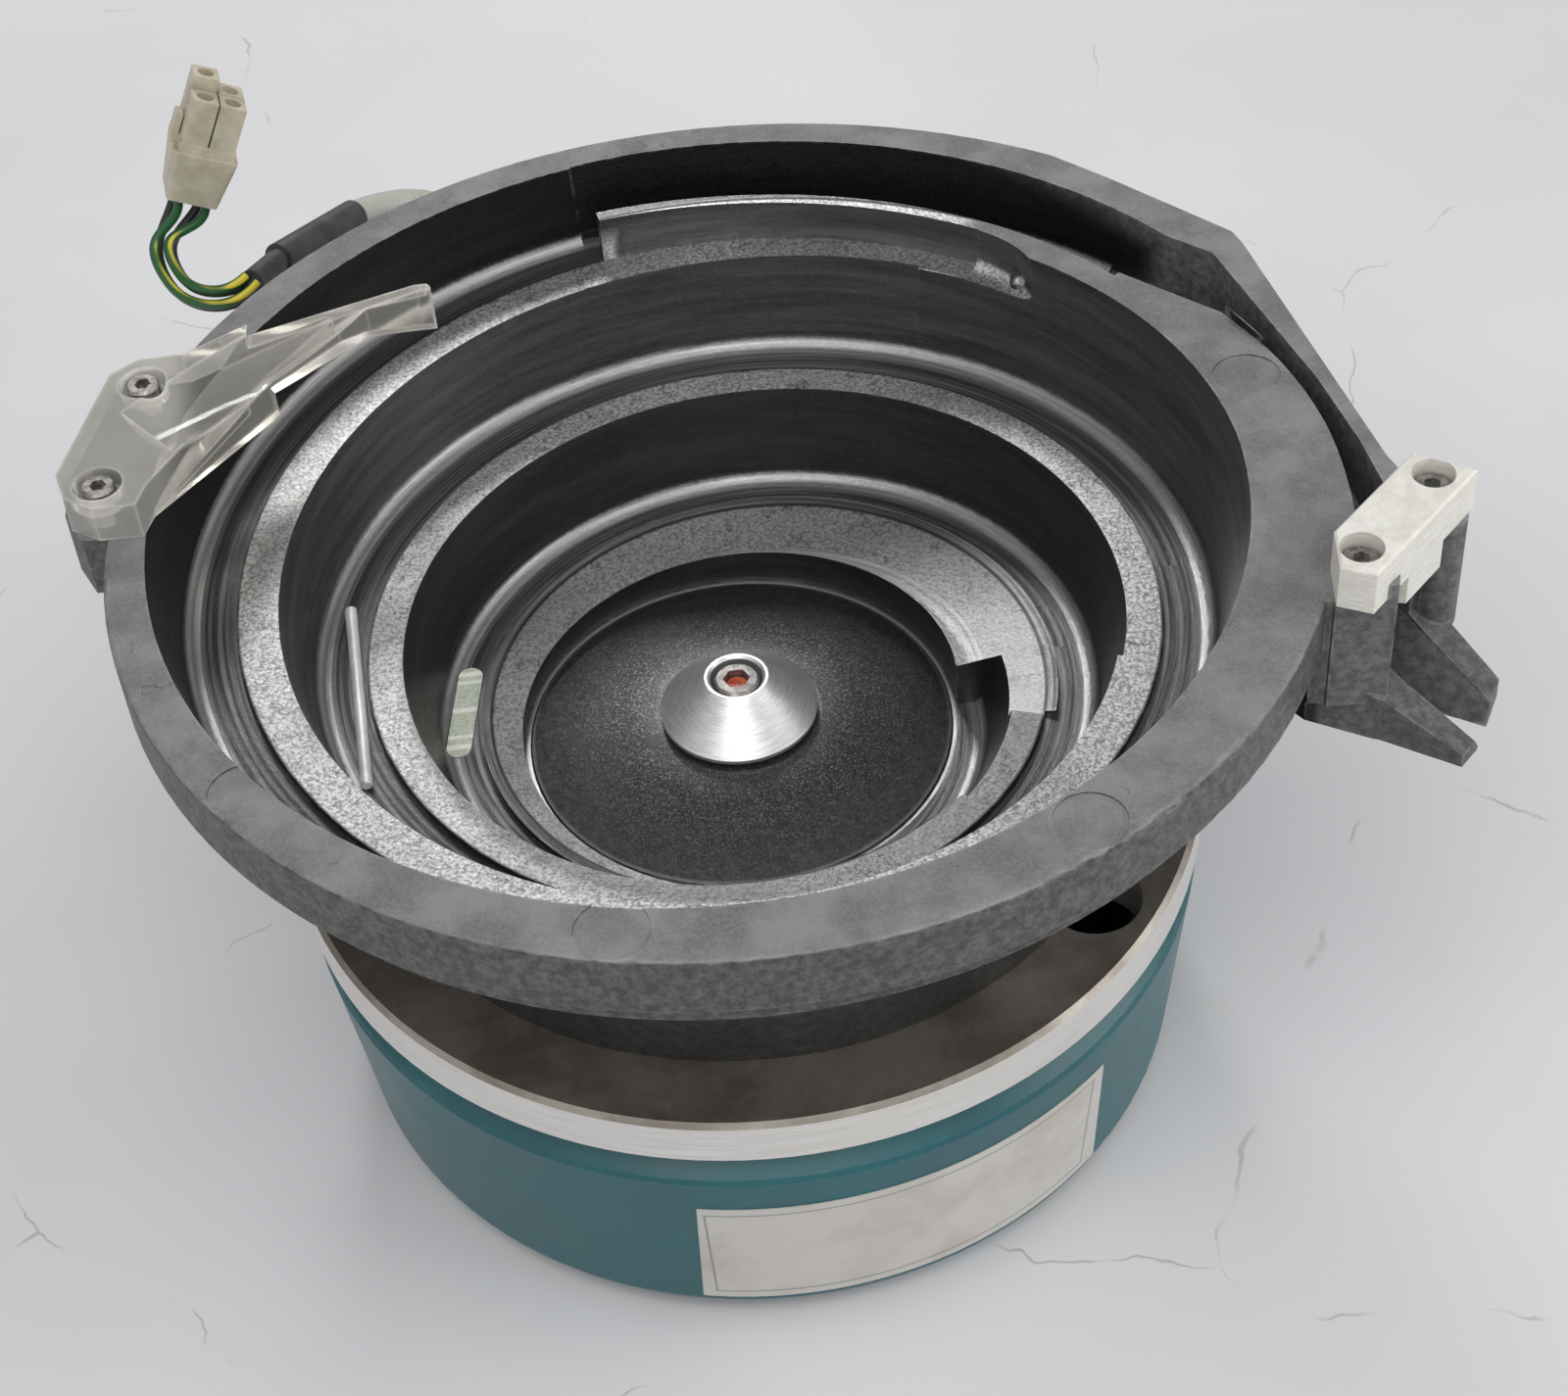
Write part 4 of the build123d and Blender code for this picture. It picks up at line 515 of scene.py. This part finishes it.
# The look of each material slot in the record
LOOKS = {
    "cast_aluminium": cast_aluminium,
    "machined_plate": machined_plate,
    "teal_paint": teal_paint,
    "turned_steel": turned_steel,
    "bright_steel": lambda: metal("bright_steel", 0.70, 0.92, 14.0, 0.42, 0.6),
    "dark_screw": lambda: metal("dark_screw", 0.16, 0.42, 1.6, 0.42, 0.85, 0.04),
    "zinc_screw": lambda: metal("zinc_screw", 0.42, 0.66, 2.0, 0.36),
    "zinc_steel": lambda: metal("zinc_steel", 0.36, 0.58, 9.0, 0.40),
    "laminations": laminations,
    "coil_tape": lambda: plastic("coil_tape", (0.40, 0.19, 0.03), (0.58, 0.31, 0.06), 7.0, 0.4),
    "bobbin_plastic": lambda: plastic("bobbin_plastic", grey(0.02), grey(0.045), 8.0, 0.5),
    "glass_fibre": lambda: plastic("glass_fibre", (0.28, 0.30, 0.13), (0.42, 0.44, 0.24), 3.0, 0.45),
    "sealing_lacquer": lambda: plastic(
        "sealing_lacquer", (0.28, 0.03, 0.015), (0.62, 0.12, 0.05), 1.6, 0.25
    ),
    "reflective_film": reflective_film,
    "clear_acrylic": clear_acrylic,
    "white_nylon": white_nylon,
    "milky_nylon": milky_nylon,
    "brass_contact": lambda: metal("brass_contact", 0.38, 0.60, 2.0, 0.35, 0.95, 0.35),
    "black_wire": lambda: plastic("black_wire", grey(0.008), grey(0.025), 5.0, 0.36),
    "earth_wire": earth_wire,
    "grey_shrink": lambda: plastic("grey_shrink", grey(0.030), grey(0.062, -0.03), 6.0, 0.5),
    "clear_tube": clear_tube,
    "black_plastic": lambda: plastic("black_plastic", grey(0.012), grey(0.03), 6.0, 0.45),
    "black_rubber": lambda: plastic("black_rubber", grey(0.010), grey(0.024), 7.0, 0.7),
    "label_film": label_film,
}


def paint_nodes():
    """Gives every CAD node the look of its material slot."""
    made = {}
    for row in frame["record"]["subparts"]:
        name = row["material_slot"]
        if name not in made:
            made[name] = LOOKS[name]()
        node = frame["nodes"][row["node"]]
        node.data.materials.clear()
        node.data.materials.append(made[name])


# ---------------------------------------------------------------- floor, light and camera
def floor_look():
    """Pale grey table with faint scratches, rubbed patches and stains."""
    look = Look("table_top")
    cloud = look.between(look.noise(260.0, 4.0, 0.55), 0.3, 0.7)
    colour = look.mix(cloud, (0.60, 0.60, 0.615), (0.66, 0.66, 0.67))
    wander = look.vector("SCALE", look.join(look.noise(60.0), look.noise(45.0), 0.0), 30.0)
    place = look.vector("ADD", look.place, wander)
    scratch = look.between(look.cells(190.0, "DISTANCE_TO_EDGE", place), 0.0022, 0.0006)
    broken = look.between(look.noise(35.0, 3.0), 0.52, 0.62)
    colour = look.mix(look.both(scratch, broken, 0.45), colour, (0.22, 0.21, 0.20))
    stain = look.between(look.noise(75.0, 6.0, 0.7), 0.66, 0.80)
    colour = look.mix(look.math("MULTIPLY", stain, 0.35), colour, (0.48, 0.45, 0.38))
    return look.done(colour, 0.0, 0.55, Specular_IOR_Level=0.3)


def add_floor():
    """Table top under the feet."""
    bpy.ops.mesh.primitive_plane_add(size=TABLE_SIZE)
    floor = bpy.context.object
    floor.name = "table_top"
    floor.data.materials.append(floor_look())


def add_world():
    """Even studio light, dimmer behind the object, where its flat metal faces mirror the room."""
    world = bpy.data.worlds.new("studio")
    world.use_nodes = True
    nodes, links = world.node_tree.nodes, world.node_tree.links
    where = nodes.new("ShaderNodeTexCoord").outputs["Generated"]
    split = nodes.new("ShaderNodeSeparateXYZ")
    links.new(where, split.inputs[0])
    ramp = nodes.new("ShaderNodeMapRange")
    ramp.data_type = "FLOAT_VECTOR"
    ramp.interpolation_type = "SMOOTHSTEP"
    links.new(split.outputs[1], ramp.inputs[6])
    values = ((FRONT_EDGE,) * 3, (BACK_EDGE,) * 3, FRONT_LIGHT, BACK_LIGHT)
    for socket, value in zip(ramp.inputs[7:11], values):
        socket.default_value = value
    links.new(ramp.outputs[1], nodes["Background"].inputs["Color"])
    bpy.context.scene.world = world


def add_softboxes():
    """Rectangular area lights turned to the bowl."""
    for name, place, width, height, power in SOFTBOXES:
        data = bpy.data.lights.new(name, "AREA")
        data.shape = "RECTANGLE"
        data.size, data.size_y = width, height
        data.energy = power
        lamp = bpy.data.objects.new(name, data)
        lamp.location = place
        lamp.rotation_euler = (LIGHT_TARGET - place).to_track_quat("-Z", "Y").to_euler()
        bpy.context.scene.collection.objects.link(lamp)


def add_camera():
    """Camera at the photograph's angle, looking down across the bowl."""
    out = CAMERA_DISTANCE * math.cos(CAMERA_ELEVATION)
    rise = CAMERA_DISTANCE * math.sin(CAMERA_ELEVATION)
    eye = Vector((0.0, -out, rise + PLATE_EDGE_Z))
    forward = (CAMERA_AIM - eye).normalized()
    level = forward.cross(Vector((0, 0, 1))).normalized()
    upright = level.cross(forward)
    right = level * math.cos(CAMERA_ROLL) + upright * math.sin(CAMERA_ROLL)
    up = upright * math.cos(CAMERA_ROLL) - level * math.sin(CAMERA_ROLL)
    data = bpy.data.cameras.new("camera")
    data.sensor_width = SENSOR_WIDTH
    data.lens = LENS
    data.clip_start = 0.01
    camera = bpy.data.objects.new("camera", data)
    turn = Matrix((right, up, -forward)).transposed().to_4x4()
    camera.matrix_world = Matrix.Translation(eye) @ turn
    bpy.context.scene.collection.objects.link(camera)
    bpy.context.scene.camera = camera


paint_nodes()
add_floor()
add_world()
add_softboxes()
add_camera()
bpy.context.scene.view_settings.view_transform = "Standard"
